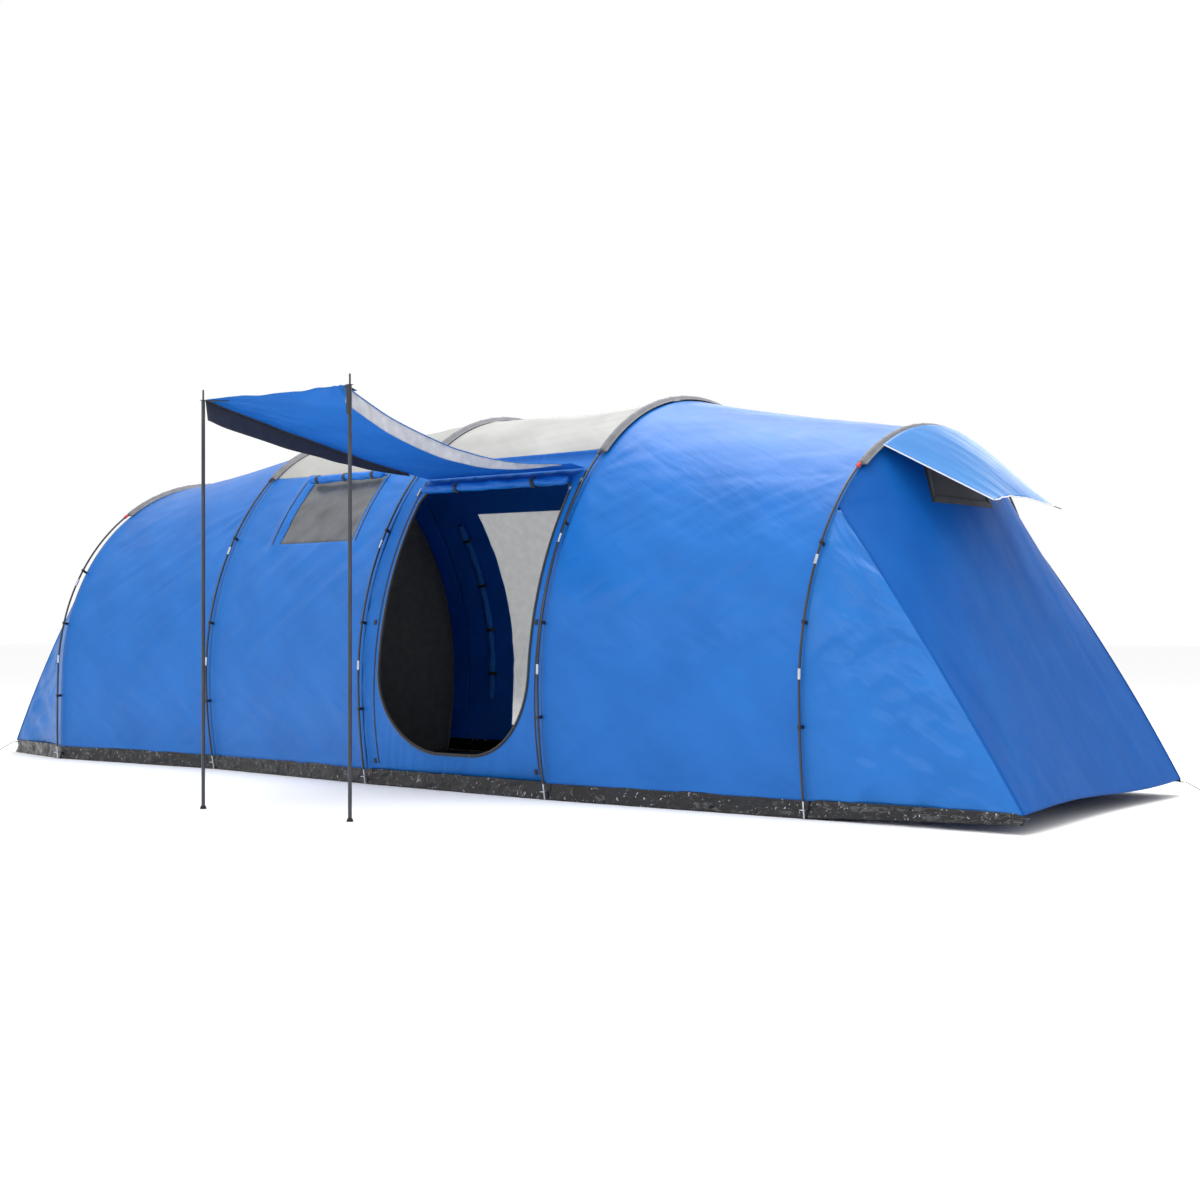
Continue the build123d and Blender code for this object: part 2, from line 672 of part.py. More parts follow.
def canopy_edge(side):
    """Root and front corner of one side edge, on the sheet's middle plane."""
    front = canopy_front[side]
    run = math.hypot(front.Y - hinge.Y, front.Z - hinge.Z)
    towards = Vector(0, (front.Y - hinge.Y) / run, (front.Z - hinge.Z) / run)
    root = Vector(canopy_root[side], hinge.Y, hinge.Z) + towards * root_gap
    return root, front


def thick_sheet(corners, thickness, normal):
    """Sheet of four corners with thickness along a normal, split by its diagonal."""
    upper = [c + normal * (thickness / 2) for c in corners]
    lower = [c - normal * (thickness / 2) for c in corners]
    triangles = []
    for a, b, c, d in (upper, lower):
        triangles += [(a, b, c), (a, c, d)]
    return solid_of(triangles + band(upper + upper[:1], lower + lower[:1]))


root_left, front_left = canopy_edge(0)
root_right, front_right = canopy_edge(1)
sheet = thick_sheet([root_left, root_right, front_right, front_left], canopy_fabric, Vector(0, 0, 1))
save("canopy_panel", sheet)

# Hanging flaps under both side edges
for name, root, front, drop, side in (("left", root_left, front_left, valance_left_drop, 1),
                                      ("right", root_right, front_right, valance_right_drop, -1)):
    along = (front - root).normalized()
    start = root + along * valance_start
    under = Vector(0, 0, -canopy_fabric / 2 - seat_gap)
    a, b = start + under, front + under
    c, d = b - Vector(0, 0, drop), a - Vector(0, 0, drop * 0.35)
    inwards = Vector(side, 0, 0) * (fabric / 2)
    save("canopy_valance_" + name, thick_sheet([p + inwards for p in (a, b, c, d)], fabric, Vector(1, 0, 0)))

# ---- porch poles: three sections each, a rubber foot and a spigot ------------
feet, spigots, corner_tabs = [], [], []
for (x, y), name, inward in ((pole_foot[0], "left", 1), (pole_foot[1], "right", -1)):
    stops = (foot_height,) + porch_pole_joints + (porch_pole_height,)
    sections = []
    for low, high in zip(stops, stops[1:]):
        tube = Pos(x, y, (low + high) / 2) * Cylinder(porch_pole_radius, high - low)
        sections.append(only_solid(tube))
    save("porch_pole_" + name, *sections)
    foot = Pos(x, y, foot_height / 2) * Cone(foot_radius, porch_pole_radius + 2, foot_height)
    feet.append(only_solid(foot))
    neck_radius, neck = spigot_neck
    spigot = Pos(x, y, porch_pole_height + neck / 2) * Cylinder(neck_radius, neck)
    pin = Cylinder(spigot_radius, spigot_length - neck)
    spigot += Pos(x, y, porch_pole_height + (neck + spigot_length) / 2) * pin
    spigots.append(only_solid(spigot))
    root, front = canopy_edge(0 if inward > 0 else 1)
    edge_lean = max(0.0, inward * (front.X - root.X) / (root.Y - front.Y))
    reach = canopy_side_gap - seat_gap - corner_tab_half * edge_lean
    tab = Box(reach + 10, 2 * corner_tab_half, 2)
    tab = Pos(x + inward * (reach - 10) / 2, y, porch_pole_height + 1 + seat_gap) * tab
    tab -= Pos(x, y, porch_pole_height) * Cylinder(spigot_radius + eyelet_gap, 20)
    corner_tabs.append(only_solid(tab))
save("porch_pole_feet", *feet)
save("porch_pole_spigots", *spigots)
save("canopy_corner_tabs", *corner_tabs)

# Adjuster strap hanging beside the right-hand pole from the corner tab
strap_x = pole_foot[1][0]
strap_y = pole_foot[1][1] - porch_pole_radius - seat_gap - 1.5
save("corner_strap", only_solid(block((strap_x - 10, strap_x + 10), (strap_y - 1.5, strap_y + 1.5),
                                      (porch_pole_height - 120, porch_pole_height + seat_gap))))

# ---- corner peg loops and cords ----------------------------------------------
loops = []
for right in (False, True):
    for corner, side in zip(end_corners(right), (-1, 1)):
        sign = 1 if right else -1
        loop = Box(*loop_size) - Cylinder(loop_hole, loop_size[2] + 2)
        centre = (corner.X + sign * (loop_size[0] / 2 - loop_inset), corner.Y + side * 4, hem_height - 12)
        loops.append(only_solid(Pos(*centre) * loop))
save("corner_loops", *loops)


def cord(name, points):
    """Round cord of straight runs joined by arcs as large as the runs allow."""
    runs = [(b - a).length for a, b in zip(points, points[1:])]
    radii = []
    for k in range(1, len(points) - 1):
        before, after = points[k] - points[k - 1], points[k + 1] - points[k]
        turn = math.radians(before.get_angle(after))
        radii.append(0.45 * min(runs[k - 1], runs[k]) / math.tan(turn / 2))
    line = FilletPolyline(*points, radius=radii)
    print(name, "radii", [round(r, 1) for r in radii], "length", round(line.length, 1))
    start = Plane(origin=line @ 0, z_dir=line % 0)
    tube = sweep(start * Circle(cord_diameter / 2), path=line)
    section = math.pi * cord_diameter ** 2 / 4
    print("  volume over section times length", round(tube.volume / (section * line.length), 4))
    save(name, only_solid(tube))


for name, route in cord_routes.items():
    cord(name, [Vector(*point) for point in route])
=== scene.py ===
import math

import bpy
import numpy as np
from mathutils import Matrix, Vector


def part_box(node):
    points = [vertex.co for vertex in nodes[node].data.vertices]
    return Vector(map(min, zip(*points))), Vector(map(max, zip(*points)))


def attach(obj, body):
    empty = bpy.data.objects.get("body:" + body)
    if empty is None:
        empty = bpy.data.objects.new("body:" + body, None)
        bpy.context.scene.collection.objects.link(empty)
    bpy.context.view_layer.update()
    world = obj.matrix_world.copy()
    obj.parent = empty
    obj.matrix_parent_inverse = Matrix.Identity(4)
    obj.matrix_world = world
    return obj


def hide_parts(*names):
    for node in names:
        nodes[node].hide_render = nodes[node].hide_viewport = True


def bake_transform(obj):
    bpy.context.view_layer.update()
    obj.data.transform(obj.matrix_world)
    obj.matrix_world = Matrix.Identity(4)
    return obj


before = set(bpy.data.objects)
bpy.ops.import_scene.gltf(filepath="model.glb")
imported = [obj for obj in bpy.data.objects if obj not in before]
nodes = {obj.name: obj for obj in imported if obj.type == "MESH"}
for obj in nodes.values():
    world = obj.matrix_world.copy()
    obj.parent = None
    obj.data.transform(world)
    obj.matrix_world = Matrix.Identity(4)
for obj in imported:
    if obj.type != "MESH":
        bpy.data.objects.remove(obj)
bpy.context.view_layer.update()        # imported mesh nodes, in world space

# ---- camera --------------------------------------------------------------------
camera_place = (6.996, -7.309, 0.80)
camera_turn = 40.91
camera_data = bpy.data.cameras.new("camera")
camera_data.lens = 55.09
camera_data.sensor_width = 36.0
camera_data.shift_y = 0.0211
camera = bpy.data.objects.new("camera", camera_data)
camera.location = camera_place
camera.rotation_euler = (math.radians(90), 0, math.radians(camera_turn))
bpy.context.scene.collection.objects.link(camera)
bpy.context.scene.camera = camera

# ---- sizes shared with the CAD model, in metres -----------------------------------
hoop_x = (-2.676, -1.324, 0.044, 1.303, 2.676)
hoop_height = (1.712, 1.888, 1.941, 1.954, 1.718)
hoop_half_width = (1.141, 1.056, 1.151, 1.188, 1.088)
hoop_foot_taper = (0.013, 0.056, 0.049, 0.053, 0.038)
hoop_lean = (math.radians(2.75), 0.0, 0.0, 0.0, 0.0)
sleeve_end = (1.482, 1.642, 1.636, 1.629, 1.499)
belly_height = 0.529
crown_fullness = 1.03
fly_below = 0.0254
fly_inside = 0.040
pole_inside = 0.012
hem = 0.076
roof_line = 1.640
bedroom_inset = 0.090
cloth_thickness = 0.0012

porch_centre = (0.66101, 0.46238)
porch_radius = 1.7697
door_x = (0.165, 1.175)
door_z = (0.182, 1.500)
door_low_corner, door_high_corner = 0.400, 0.090
porch_zip_x = (0.128, 1.225)
window_x = (-0.900, -0.253)
window_zip_x = (-0.962, -0.222)
window_z = (1.242, 1.600)
rear_door_x = (-0.945, -0.190)
rear_roll_x = -1.100
rear_door_z = (0.180, 1.480)

gusset_top = 1.300
corners = {"left": ((-3.390, -0.950), (-3.390, 0.950)),
           "right": ((3.640, -0.970), (3.405, 1.000))}
vent_z = (1.355, 1.500)
vent_half = (0.265, 0.212)
hood_root_half, hood_tip_half = 0.480, 0.275
hood_root_gap = 0.0303
hood_reach, hood_tip_z = 0.425, 1.335

fold_y, fold_z = -0.84432, 1.56547
seam_y, seam_z = -0.7405, 1.550
canopy_root_x = (0.140, 1.212)
canopy_front = ((0.460, -2.390, 1.780), (1.308, -2.320, 1.780))
porch_pole_x = (0.444, 1.324)

cord_radius = 0.002
cord_routes = {
    "left": ((-3.4117, -0.962, 0.064), (-3.453, -0.990, 0.038), (-3.498, -1.016, 0.006)),
    "right": ((3.4267, 1.010, 0.064), (3.469, 1.038, 0.038), (3.516, 1.062, 0.006)),
}


# ---- materials -------------------------------------------------------------------
def link(tree, a, b):
    tree.links.new(a, b)


def linear(colour):
    """Linear colour of three sRGB values from 0 to 255."""
    return tuple(c / 12.92 if c <= 0.04045 else ((c + 0.055) / 1.055) ** 2.4
                 for c in (v / 255 for v in colour)) + (1.0,)


def new_material(name, roughness, metallic=0.0, sheen=0.0, coat=0.0, specular=0.5):
    material = bpy.data.materials.new(name)
    material.use_nodes = True
    shader = material.node_tree.nodes["Principled BSDF"]
    shader.inputs["Roughness"].default_value = roughness
    shader.inputs["Metallic"].default_value = metallic
    shader.inputs["Sheen Weight"].default_value = sheen
    shader.inputs["Coat Weight"].default_value = coat
    shader.inputs["Specular IOR Level"].default_value = specular
    return material, material.node_tree, shader


def coordinates(tree, kind, scale, turn=0.0):
    """Texture coordinates turned in their plane, then stretched."""
    source = tree.nodes.new("ShaderNodeTexCoord")
    turned = tree.nodes.new("ShaderNodeMapping")
    turned.inputs["Rotation"].default_value = (0, 0, turn)
    stretched = tree.nodes.new("ShaderNodeMapping")
    stretched.inputs["Scale"].default_value = scale
    link(tree, source.outputs[kind], turned.inputs["Vector"])
    link(tree, turned.outputs["Vector"], stretched.inputs["Vector"])
    return stretched.outputs["Vector"]


def noise_node(tree, vector, scale, detail=4.0, kind="FBM", roughness=0.5, distortion=0.0):
    node = tree.nodes.new("ShaderNodeTexNoise")
    node.noise_type = kind
    node.inputs["Scale"].default_value = scale
    node.inputs["Detail"].default_value = detail
    node.inputs["Roughness"].default_value = roughness
    node.inputs["Distortion"].default_value = distortion
    link(tree, vector, node.inputs["Vector"])
    return node.outputs["Fac"]


def colour_ramp(tree, factor, low, high, places=(0.3, 0.7)):
    ramp = tree.nodes.new("ShaderNodeValToRGB")
    for element, place, colour in zip(ramp.color_ramp.elements, places, (low, high)):
        element.position, element.color = place, colour
    link(tree, factor, ramp.inputs["Fac"])
    return ramp.outputs["Color"]


def bump(tree, height, strength, distance, before=None):
    node = tree.nodes.new("ShaderNodeBump")
    node.inputs["Strength"].default_value = strength
    node.inputs["Distance"].default_value = distance
    link(tree, height, node.inputs["Height"])
    if before is not None:
        link(tree, before, node.inputs["Normal"])
    return node.outputs["Normal"]


def range_of(tree, factor, low, high):
    node = tree.nodes.new("ShaderNodeMapRange")
    node.inputs["To Min"].default_value = low
    node.inputs["To Max"].default_value = high
    link(tree, factor, node.inputs["Value"])
    return node.outputs["Result"]


def weave_height(tree, kind, per_metre):
    """Two crossed thread waves."""
    vector = coordinates(tree, kind, (1, 1, 1))
    heights = []
    for direction in ("X", "Y"):
        wave = tree.nodes.new("ShaderNodeTexWave")
        wave.bands_direction = direction
        wave.inputs["Scale"].default_value = per_metre
        wave.inputs["Distortion"].default_value = 0.4
        link(tree, vector, wave.inputs["Vector"])
        heights.append(wave.outputs["Fac"])
    both = tree.nodes.new("ShaderNodeMath")
    both.operation = "MULTIPLY"
    link(tree, heights[0], both.inputs[0])
    link(tree, heights[1], both.inputs[1])
    return both.outputs[0]


def polyester(name, low, high, roughness=0.42, sheen=0.0, crease=0.35, kind="UV", fold_turn=0.55,
              through=0.0, specular=0.3):
    """Coated tent cloth: fine weave, small creases and long slack folds."""
    material, tree, shader = new_material(name, roughness, sheen=sheen, specular=specular)
    shader.inputs["Sheen Roughness"].default_value = 0.4
    shade = noise_node(tree, coordinates(tree, kind, (1.0, 1.6, 1.0), fold_turn), 2.2, 5.0)
    colour = colour_ramp(tree, shade, linear(low), linear(high))
    link(tree, colour, shader.inputs["Base Color"])
    mottle = noise_node(tree, coordinates(tree, kind, (1, 1, 1)), 9.0, 6.0, roughness=0.6)
    link(tree, range_of(tree, mottle, roughness - 0.08, roughness + 0.12), shader.inputs["Roughness"])
    long_folds = noise_node(tree, coordinates(tree, kind, (1.0, 5.5, 1.0), fold_turn), 3.0, 3.0, distortion=0.35)
    creases = noise_node(tree, coordinates(tree, kind, (1.0, 2.6, 1.0), fold_turn + 0.3), 8.0, 6.0,
                         kind="RIDGED_MULTIFRACTAL", roughness=0.45, distortion=0.5)
    normal = bump(tree, weave_height(tree, kind, 420.0), 0.08, 0.0004)
    normal = bump(tree, creases, crease * 0.35, 0.006, normal)
    normal = bump(tree, long_folds, crease, 0.020, normal)
    link(tree, normal, shader.inputs["Normal"])
    if through:
        glow = tree.nodes.new("ShaderNodeBsdfTranslucent")
        link(tree, colour, glow.inputs["Color"])
        mixed = tree.nodes.new("ShaderNodeMixShader")
        mixed.inputs["Fac"].default_value = through
        link(tree, shader.outputs["BSDF"], mixed.inputs[1])
        link(tree, glow.outputs["BSDF"], mixed.inputs[2])
        link(tree, mixed.outputs["Shader"], tree.nodes["Material Output"].inputs["Surface"])
    return material


def woven(name, low, high, roughness=0.75, per_metre=380.0, strength=0.35, kind="UV"):
    """Webbing or matt woven cloth."""
    material, tree, shader = new_material(name, roughness, sheen=0.2)
    weave = weave_height(tree, kind, per_metre)
    patches = noise_node(tree, coordinates(tree, kind, (1, 1, 1)), 18.0, 5.0)
    link(tree, colour_ramp(tree, patches, linear(low), linear(high)), shader.inputs["Base Color"])
    normal = bump(tree, weave, strength, 0.0006)
    link(tree, bump(tree, patches, 0.3, 0.002, normal), shader.inputs["Normal"])
    return material


def coated_film(name, low, high, roughness, crinkle, scale=16.0, glint=None):
    """Glossy crinkled sheet; given a glint colour, it gets pale streaks of painted highlight."""
    material, tree, shader = new_material(name, roughness, specular=0.4)
    vector = coordinates(tree, "UV", (1, 1, 1))
    patches = noise_node(tree, vector, 6.0, 6.0)
    crease = noise_node(tree, vector, scale, 5.0, kind="RIDGED_MULTIFRACTAL", distortion=0.8)
    colour = colour_ramp(tree, patches, linear(low), linear(high))
    # painted highlight: pale streaks of the glint colour, where a stretched noise passes a threshold, stand in for
    # light caught on the creases
    if glint:
        glint_streaks = noise_node(tree, vector, scale * 2.2, 5.0, distortion=2.5)
        glint_mask = colour_ramp(tree, glint_streaks, (0, 0, 0, 1), (1, 1, 1, 1), (0.64, 0.72))
        mixed = tree.nodes.new("ShaderNodeMix")
        mixed.data_type = "RGBA"
        link(tree, glint_mask, mixed.inputs["Factor"])
        link(tree, colour, mixed.inputs[6])
        mixed.inputs[7].default_value = linear(glint)
        colour = mixed.outputs[2]
    link(tree, colour, shader.inputs["Base Color"])
    soft = noise_node(tree, vector, scale * 0.45, 3.0)
    normal = bump(tree, crease, crinkle, 0.012)
    link(tree, bump(tree, soft, crinkle, 0.02, normal), shader.inputs["Normal"])
    link(tree, range_of(tree, patches, roughness * 0.7, roughness * 1.6), shader.inputs["Roughness"])
    return material


def hard(name, low, high, roughness, metallic=0.0, grain=90.0, strength=0.08, coat=0.0):
    """Metal, moulded plastic or rubber with a little grain and wear."""
    material, tree, shader = new_material(name, roughness, metallic=metallic, coat=coat)
    vector = coordinates(tree, "Object", (1, 1, 0.15))
    patches = noise_node(tree, vector, grain, 4.0)
    link(tree, colour_ramp(tree, patches, linear(low), linear(high)), shader.inputs["Base Color"])
    link(tree, range_of(tree, patches, roughness * 0.75, roughness * 1.3), shader.inputs["Roughness"])
    link(tree, bump(tree, patches, strength, 0.0008), shader.inputs["Normal"])
    return material


fly_blue = polyester("fly_blue", (20, 102, 184), (30, 114, 200), roughness=0.34, crease=0.17, through=0.18)
# painted shade: the sloping ends are the fly's own cloth, given a darker blue because they are darker in the light
end_blue_painted_shade = polyester("end_blue_painted_shade", (6, 82, 162), (12, 92, 174), roughness=0.55, crease=0.06, fold_turn=1.45,
                     through=0.12, specular=0.12)
gusset_blue = polyester("gusset_blue", (22, 104, 184), (32, 116, 200), roughness=0.32, crease=0.26, through=0.12)
canopy_blue = polyester("canopy_blue", (40, 124, 200), (52, 136, 212), crease=0.10, fold_turn=0.2, through=0.42,
                        specular=0.15)
hood_blue = polyester("hood_blue", (44, 124, 200), (70, 144, 214), roughness=0.3, crease=0.12, fold_turn=1.4,
                      through=0.2, specular=0.5)
roll_blue = polyester("roll_blue", (10, 96, 184), (24, 112, 202), crease=0.4, fold_turn=0.1)
white_roof = polyester("white_roof", (148, 148, 146), (168, 168, 165), crease=0.10, through=0.06)
sleeve_grey = woven("sleeve_grey", (86, 87, 93), (106, 107, 113), 0.6, strength=0.3)
valance_grey = woven("valance_grey", (168, 169, 174), (196, 197, 201), 0.6, strength=0.25)
# painted shade: a dark copy of the grey valance cloth, for the flap whose shadowed inner face is seen
valance_painted_shade = woven("valance_painted_shade", (34, 35, 40), (50, 51, 57), 0.6, strength=0.25)
webbing = woven("webbing_black", (16, 16, 18), (28, 28, 31), 0.7, kind="Object")
red_webbing = woven("webbing_red", (176, 20, 26), (204, 34, 38), 0.6, kind="Object")
white_piping = woven("white_piping", (222, 224, 228), (238, 239, 242), 0.5)
inner_black = woven("inner_black", (72, 72, 73), (86, 86, 87), 0.75, strength=0.2)
mesh_black = woven("mesh_black", (4, 5, 7), (9, 10, 13), 0.8, per_metre=240.0, strength=0.6)
mesh_pale = woven("mesh_pale", (205, 208, 212), (228, 230, 233), 0.6, per_metre=240.0, strength=0.6)
mesh_pale.node_tree.nodes["Principled BSDF"].inputs["Alpha"].default_value = 0.45
# the skirt's pale glint colour is a painted highlight of light on its crinkles
skirt_black = coated_film("skirt_black", (10, 10, 13), (26, 27, 32), 0.16, 0.6, 16.0, glint=(190, 192, 198))
floor_black = coated_film("floor_black", (24, 25, 28), (40, 41, 46), 0.38, 0.5, 9.0)
window_film = coated_film("window_film", (66, 69, 74), (92, 95, 100), 0.22, 0.22, 5.0)
fibreglass = hard("fibreglass_black", (16, 17, 20), (34, 36, 41), 0.32, grain=60.0, coat=0.3)
steel = hard("steel_bright", (176, 178, 182), (214, 216, 219), 0.24, metallic=1.0, grain=140.0)
clip_black = hard("clip_black", (14, 14, 16), (28, 28, 31), 0.42, grain=120.0)
pole_steel = hard("pole_steel", (44, 46, 51), (66, 69, 75), 0.36, metallic=0.4, grain=50.0)
rubber = hard("foot_rubber", (14, 14, 15), (26, 26, 28), 0.75, grain=150.0, strength=0.2)
cord_black = woven("cord_black", (18, 18, 20), (44, 44, 48), 0.7, per_metre=600.0, kind="Object")


# ---- meshes ----------------------------------------------------------------------
def add_object(name, mesh, material, body="root", replaced=()):
    piece = bpy.data.objects.new(name, mesh)
    bpy.context.scene.collection.objects.link(piece)
    mesh.materials.append(material)
    mesh.shade_smooth()
    if body:
        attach(piece, body)
    if replaced:
        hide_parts(*replaced)
    return piece


def grid_normals(grid):
    along = np.gradient(grid, axis=0)
    across = np.gradient(grid, axis=1)
    normal = np.cross(along, across)
    length = np.linalg.norm(normal, axis=2, keepdims=True)
    return normal / np.maximum(length, 1e-12)


def sheet_mesh(name, grid, keep=None, thickness=cloth_thickness, uv=None):
    """Thin closed sheet around a grid of points; keep says which cells are cloth."""
    rows, columns, _ = grid.shape
    if uv is None:
        u = np.cumsum(np.linalg.norm(np.diff(grid, axis=1, prepend=grid[:, :1]), axis=2), axis=1)
        v = np.cumsum(np.linalg.norm(np.diff(grid, axis=0, prepend=grid[:1]), axis=2), axis=0)
        uv = np.stack([u, v], axis=2)
    normal = grid_normals(grid) * thickness / 2
    points = np.concatenate([(grid + normal).reshape(-1, 3), (grid - normal).reshape(-1, 3)])
    count = rows * columns
    index = np.arange(count).reshape(rows, columns)
    cells = np.stack([index[:-1, :-1], index[:-1, 1:], index[1:, 1:], index[1:, :-1]], axis=2)
    if keep is not None:
        cells = cells[keep]
    cells = cells.reshape(-1, 4)
    edges = np.concatenate([cells[:, [k, (k + 1) % 4]] for k in range(4)])
    code = edges[:, 0] * count + edges[:, 1]
    reverse = edges[:, 1] * count + edges[:, 0]
    rim = edges[~np.isin(code, reverse)]
    top = cells[:, ::-1]
    bottom = cells + count
    sides = np.stack([rim[:, 0], rim[:, 1], rim[:, 1] + count, rim[:, 0] + count], axis=1)
    faces = np.concatenate([top, bottom, sides])
    used, faces = np.unique(faces, return_inverse=True)
    faces = faces.reshape(-1, 4)
    mesh = bpy.data.meshes.new(name)
    mesh.from_pydata(points[used].tolist(), [], faces.tolist())
    layer = mesh.uv_layers.new(name="uv")
    flat_uv = np.concatenate([uv.reshape(-1, 2)] * 2)[used]
    layer.data.foreach_set("uv", flat_uv[faces.reshape(-1)].astype(np.float32).reshape(-1))
    mesh.validate()
    return mesh


def lattice_noise(p, q, seed):
    """Smooth value noise between -1 and 1, one value to each whole number."""
    table = np.random.default_rng(seed).uniform(-1, 1, (97, 89))
    i, j = np.floor(p).astype(int), np.floor(q).astype(int)
    a, b = p - i, q - j
    a, b = a * a * (3 - 2 * a), b * b * (3 - 2 * b)

    def at(m, n):
        return table[m % 97, n % 89]

    low = at(i, j) * (1 - a) + at(i + 1, j) * a
    high = at(i, j + 1) * (1 - a) + at(i + 1, j + 1) * a
    return low * (1 - b) + high * b


def folds(u, v, turn, length, width, seed):
    """Long soft folds that run along one direction of the cloth."""
    along = u * math.cos(turn) + v * math.sin(turn)
    across = -u * math.sin(turn) + v * math.cos(turn)
    bend = lattice_noise(along / length * 0.7, across / length, seed + 1) * width * 0.6
    value = lattice_noise(along / length, (across + bend) / width, seed)
    return value + 0.45 * lattice_noise(along / length * 2.1, (across + bend) / width * 2.3, seed + 2)


def pull(u, v, at, spokes, reach, seed):
    """Creases that radiate from a point where the cloth is held."""
    du, dv = u - at[0], v - at[1]
    distance = np.hypot(du, dv)
    angle = np.arctan2(dv, du)
    rays = lattice_noise(angle * spokes, distance * 1.5, seed)
    return rays * np.exp(-distance / reach) * np.minimum(distance / 0.12, 1)


def fade(value, width):
    """0 at the edge, 1 from that width on."""
    share = np.clip(value / width, 0, 1)
    return share * share * (3 - 2 * share)


# ---- arches ----------------------------------------------------------------------
class Arch:
    """Three-centred arch at one hoop, that far inside the hoop's outer line."""

    def __init__(self, hoop, inset, lower=0.0, narrower=0.0):
        height = hoop_height[hoop] - lower
        half_width = hoop_half_width[hoop] - narrower
        taper = hoop_foot_taper[hoop]
        self.x, self.lean = hoop_x[hoop], hoop_lean[hoop]
        rise = height - belly_height
        crown = crown_fullness * half_width ** 2 / rise
        drop = crown - rise
        side = (half_width ** 2 + drop ** 2 - crown ** 2) / (2 * (half_width - crown))
        foot = (belly_height ** 2 + taper ** 2) / (2 * taper)
        sign = 1 if side > crown else -1
        shoulder = math.atan2(-sign * drop, sign * (side - half_width))
        self.foot = (half_width - foot, belly_height, foot - inset)
        self.side = (half_width - side, belly_height, side - inset)
        self.crown = (0.0, height - crown, crown - inset)
        self.shoulder_z = belly_height + (side - inset) * math.sin(shoulder)

    def y(self, z):
        if z < belly_height:
            centre_y, centre_z, radius = self.foot
        else:
            centre_y, centre_z, radius = self.side if z < self.shoulder_z else self.crown
        return centre_y + math.sqrt(max(radius ** 2 - (z - centre_z) ** 2, 0.0))

    def half(self, low, high, count):
        """Evenly spaced points from low to high on the +Y side, as (y, z) rows."""
        top = self.crown[1] + self.crown[2]
        high = top if high is None else high
        z = low + (high - low) * np.sin(np.linspace(0, math.pi / 2, 600)) if high == top \
            else np.linspace(low, high, 600)
        line = np.array([(self.y(h), h) for h in z])
        if high == top:
            line[-1] = (0.0, top)
        return resample(line, count)

    def place(self, line, side=1):
        y, z = line[:, 0], line[:, 1]
        return np.stack([self.x + z * math.sin(self.lean), side * y, z * math.cos(self.lean)], axis=1)


def resample(line, count):
    """count points evenly spaced along a line of points."""
    steps = np.linalg.norm(np.diff(line, axis=0), axis=1)
    distance = np.concatenate([[0], np.cumsum(steps)])
    wanted = np.linspace(0, distance[-1], count)
    return np.stack([np.interp(wanted, distance, line[:, k]) for k in range(line.shape[1])], axis=1)


def fly_ring(hoop, split, low_rows, high_rows, inset=0.0, low=hem):
    """Points of the fly from the near foot over the crown to the far foot, with a row at z = split."""
    arch = Arch(hoop, inset, fly_below, fly_inside)
    wall = arch.half(low, split, low_rows)
    crown = arch.half(split, None, high_rows)
    near = arch.place(np.concatenate([wall[:-1], crown]), -1)
    far = arch.place(np.concatenate([wall[:-1], crown[:-1]])[::-1])
    return np.concatenate([near, far])


def between(first, last, columns):
    share = np.linspace(0, 1, columns)[None, :, None]
    return first[:, None] * (1 - share) + last[:, None] * share


def grid_uv(grid):
    """Metres along the tunnel and along the arch."""
    u = np.cumsum(np.linalg.norm(np.diff(grid, axis=1, prepend=grid[:, :1]), axis=2), axis=1)
    v = np.cumsum(np.linalg.norm(np.diff(grid, axis=0, prepend=grid[:1]), axis=2), axis=0)
    return u, v


def outward(grid):
    """Unit normals that point away from the tunnel's middle line."""
    normal = grid_normals(grid)
    middle = grid - np.array([0.0, 0.0, 0.75])
    middle[..., 0] = 0
    sign = np.sign((normal * middle).sum(axis=2, keepdims=True))
    return normal * np.where(sign == 0, 1, sign)


# ---- fly over the tunnel -----------------------------------------------------------
low_rows, high_rows, bay_columns = 105, 72, 92
sag_between_hoops = 0.012


def tunnel_bay(bay, split, seed):
    """Taut cloth between two hoops, with slack folds and creases pulled from where it is held."""
    first = fly_ring(bay, split, low_rows, high_rows)
    last = fly_ring(bay + 1, split, low_rows, high_rows)
    grid = between(first, last, bay_columns)
    u, v = grid_uv(grid)
    length, girth = u.max(axis=1, keepdims=True), v.max(axis=0, keepdims=True)
    share = u / length
    from_hem = np.minimum(v, girth - v)
    wall = 1 - fade(from_hem - 1.1, 0.7)
    held = fade(np.minimum(u, length - u), 0.10)
    slack = -sag_between_hoops * 4 * share * (1 - share)
    slack = slack + 0.0035 * wall * folds(u, from_hem, 0.6, 0.50, 0.075, seed)
    slack = slack + 0.0022 * folds(u, v, 0.15, 0.70, 0.110, seed + 10)
    slack = slack + 0.0016 * wall * folds(u, from_hem, -0.5, 0.22, 0.045, seed + 20)
    for k, corner in enumerate(((0.0, 0.0), (float(length.mean()), 0.0), (0.0, 1.5), (float(length.mean()), 1.5))):
        slack = slack + 0.006 * pull(u, from_hem, corner, 5.0, 0.30, seed + 30 + k)
    slack = slack * held * (0.25 + 0.75 * fade(from_hem, 0.05))
    if bay == 1:
        x = grid[..., 0]
        from_zip = np.minimum(np.abs(x - window_zip_x[0]), np.abs(x - window_zip_x[1]))
        beside_zip = (1 - fade(from_zip - 0.006, 0.06)) * fade(grid[..., 2] - 1.16, 0.08)
        slack = np.where(v < girth / 2, np.minimum(slack, 0) * (1 - beside_zip), slack)
    return grid + outward(grid) * slack[..., None], np.stack([u, v], axis=2)


def snap_to_outline(grid, inside):
    """Rows and columns of cells that lie outside an opening."""
    centre = (grid[:-1, :-1] + grid[1:, :-1] + grid[:-1, 1:] + grid[1:, 1:]) / 4
    return ~inside(centre)


def rectangle(x_range, z_range, side):
    def inside(p):
        return ((p[..., 0] > x_range[0]) & (p[..., 0] < x_range[1]) & (p[..., 2] > z_range[0])
                & (p[..., 2] < z_range[1]) & (p[..., 1] * side > 0))
    return inside


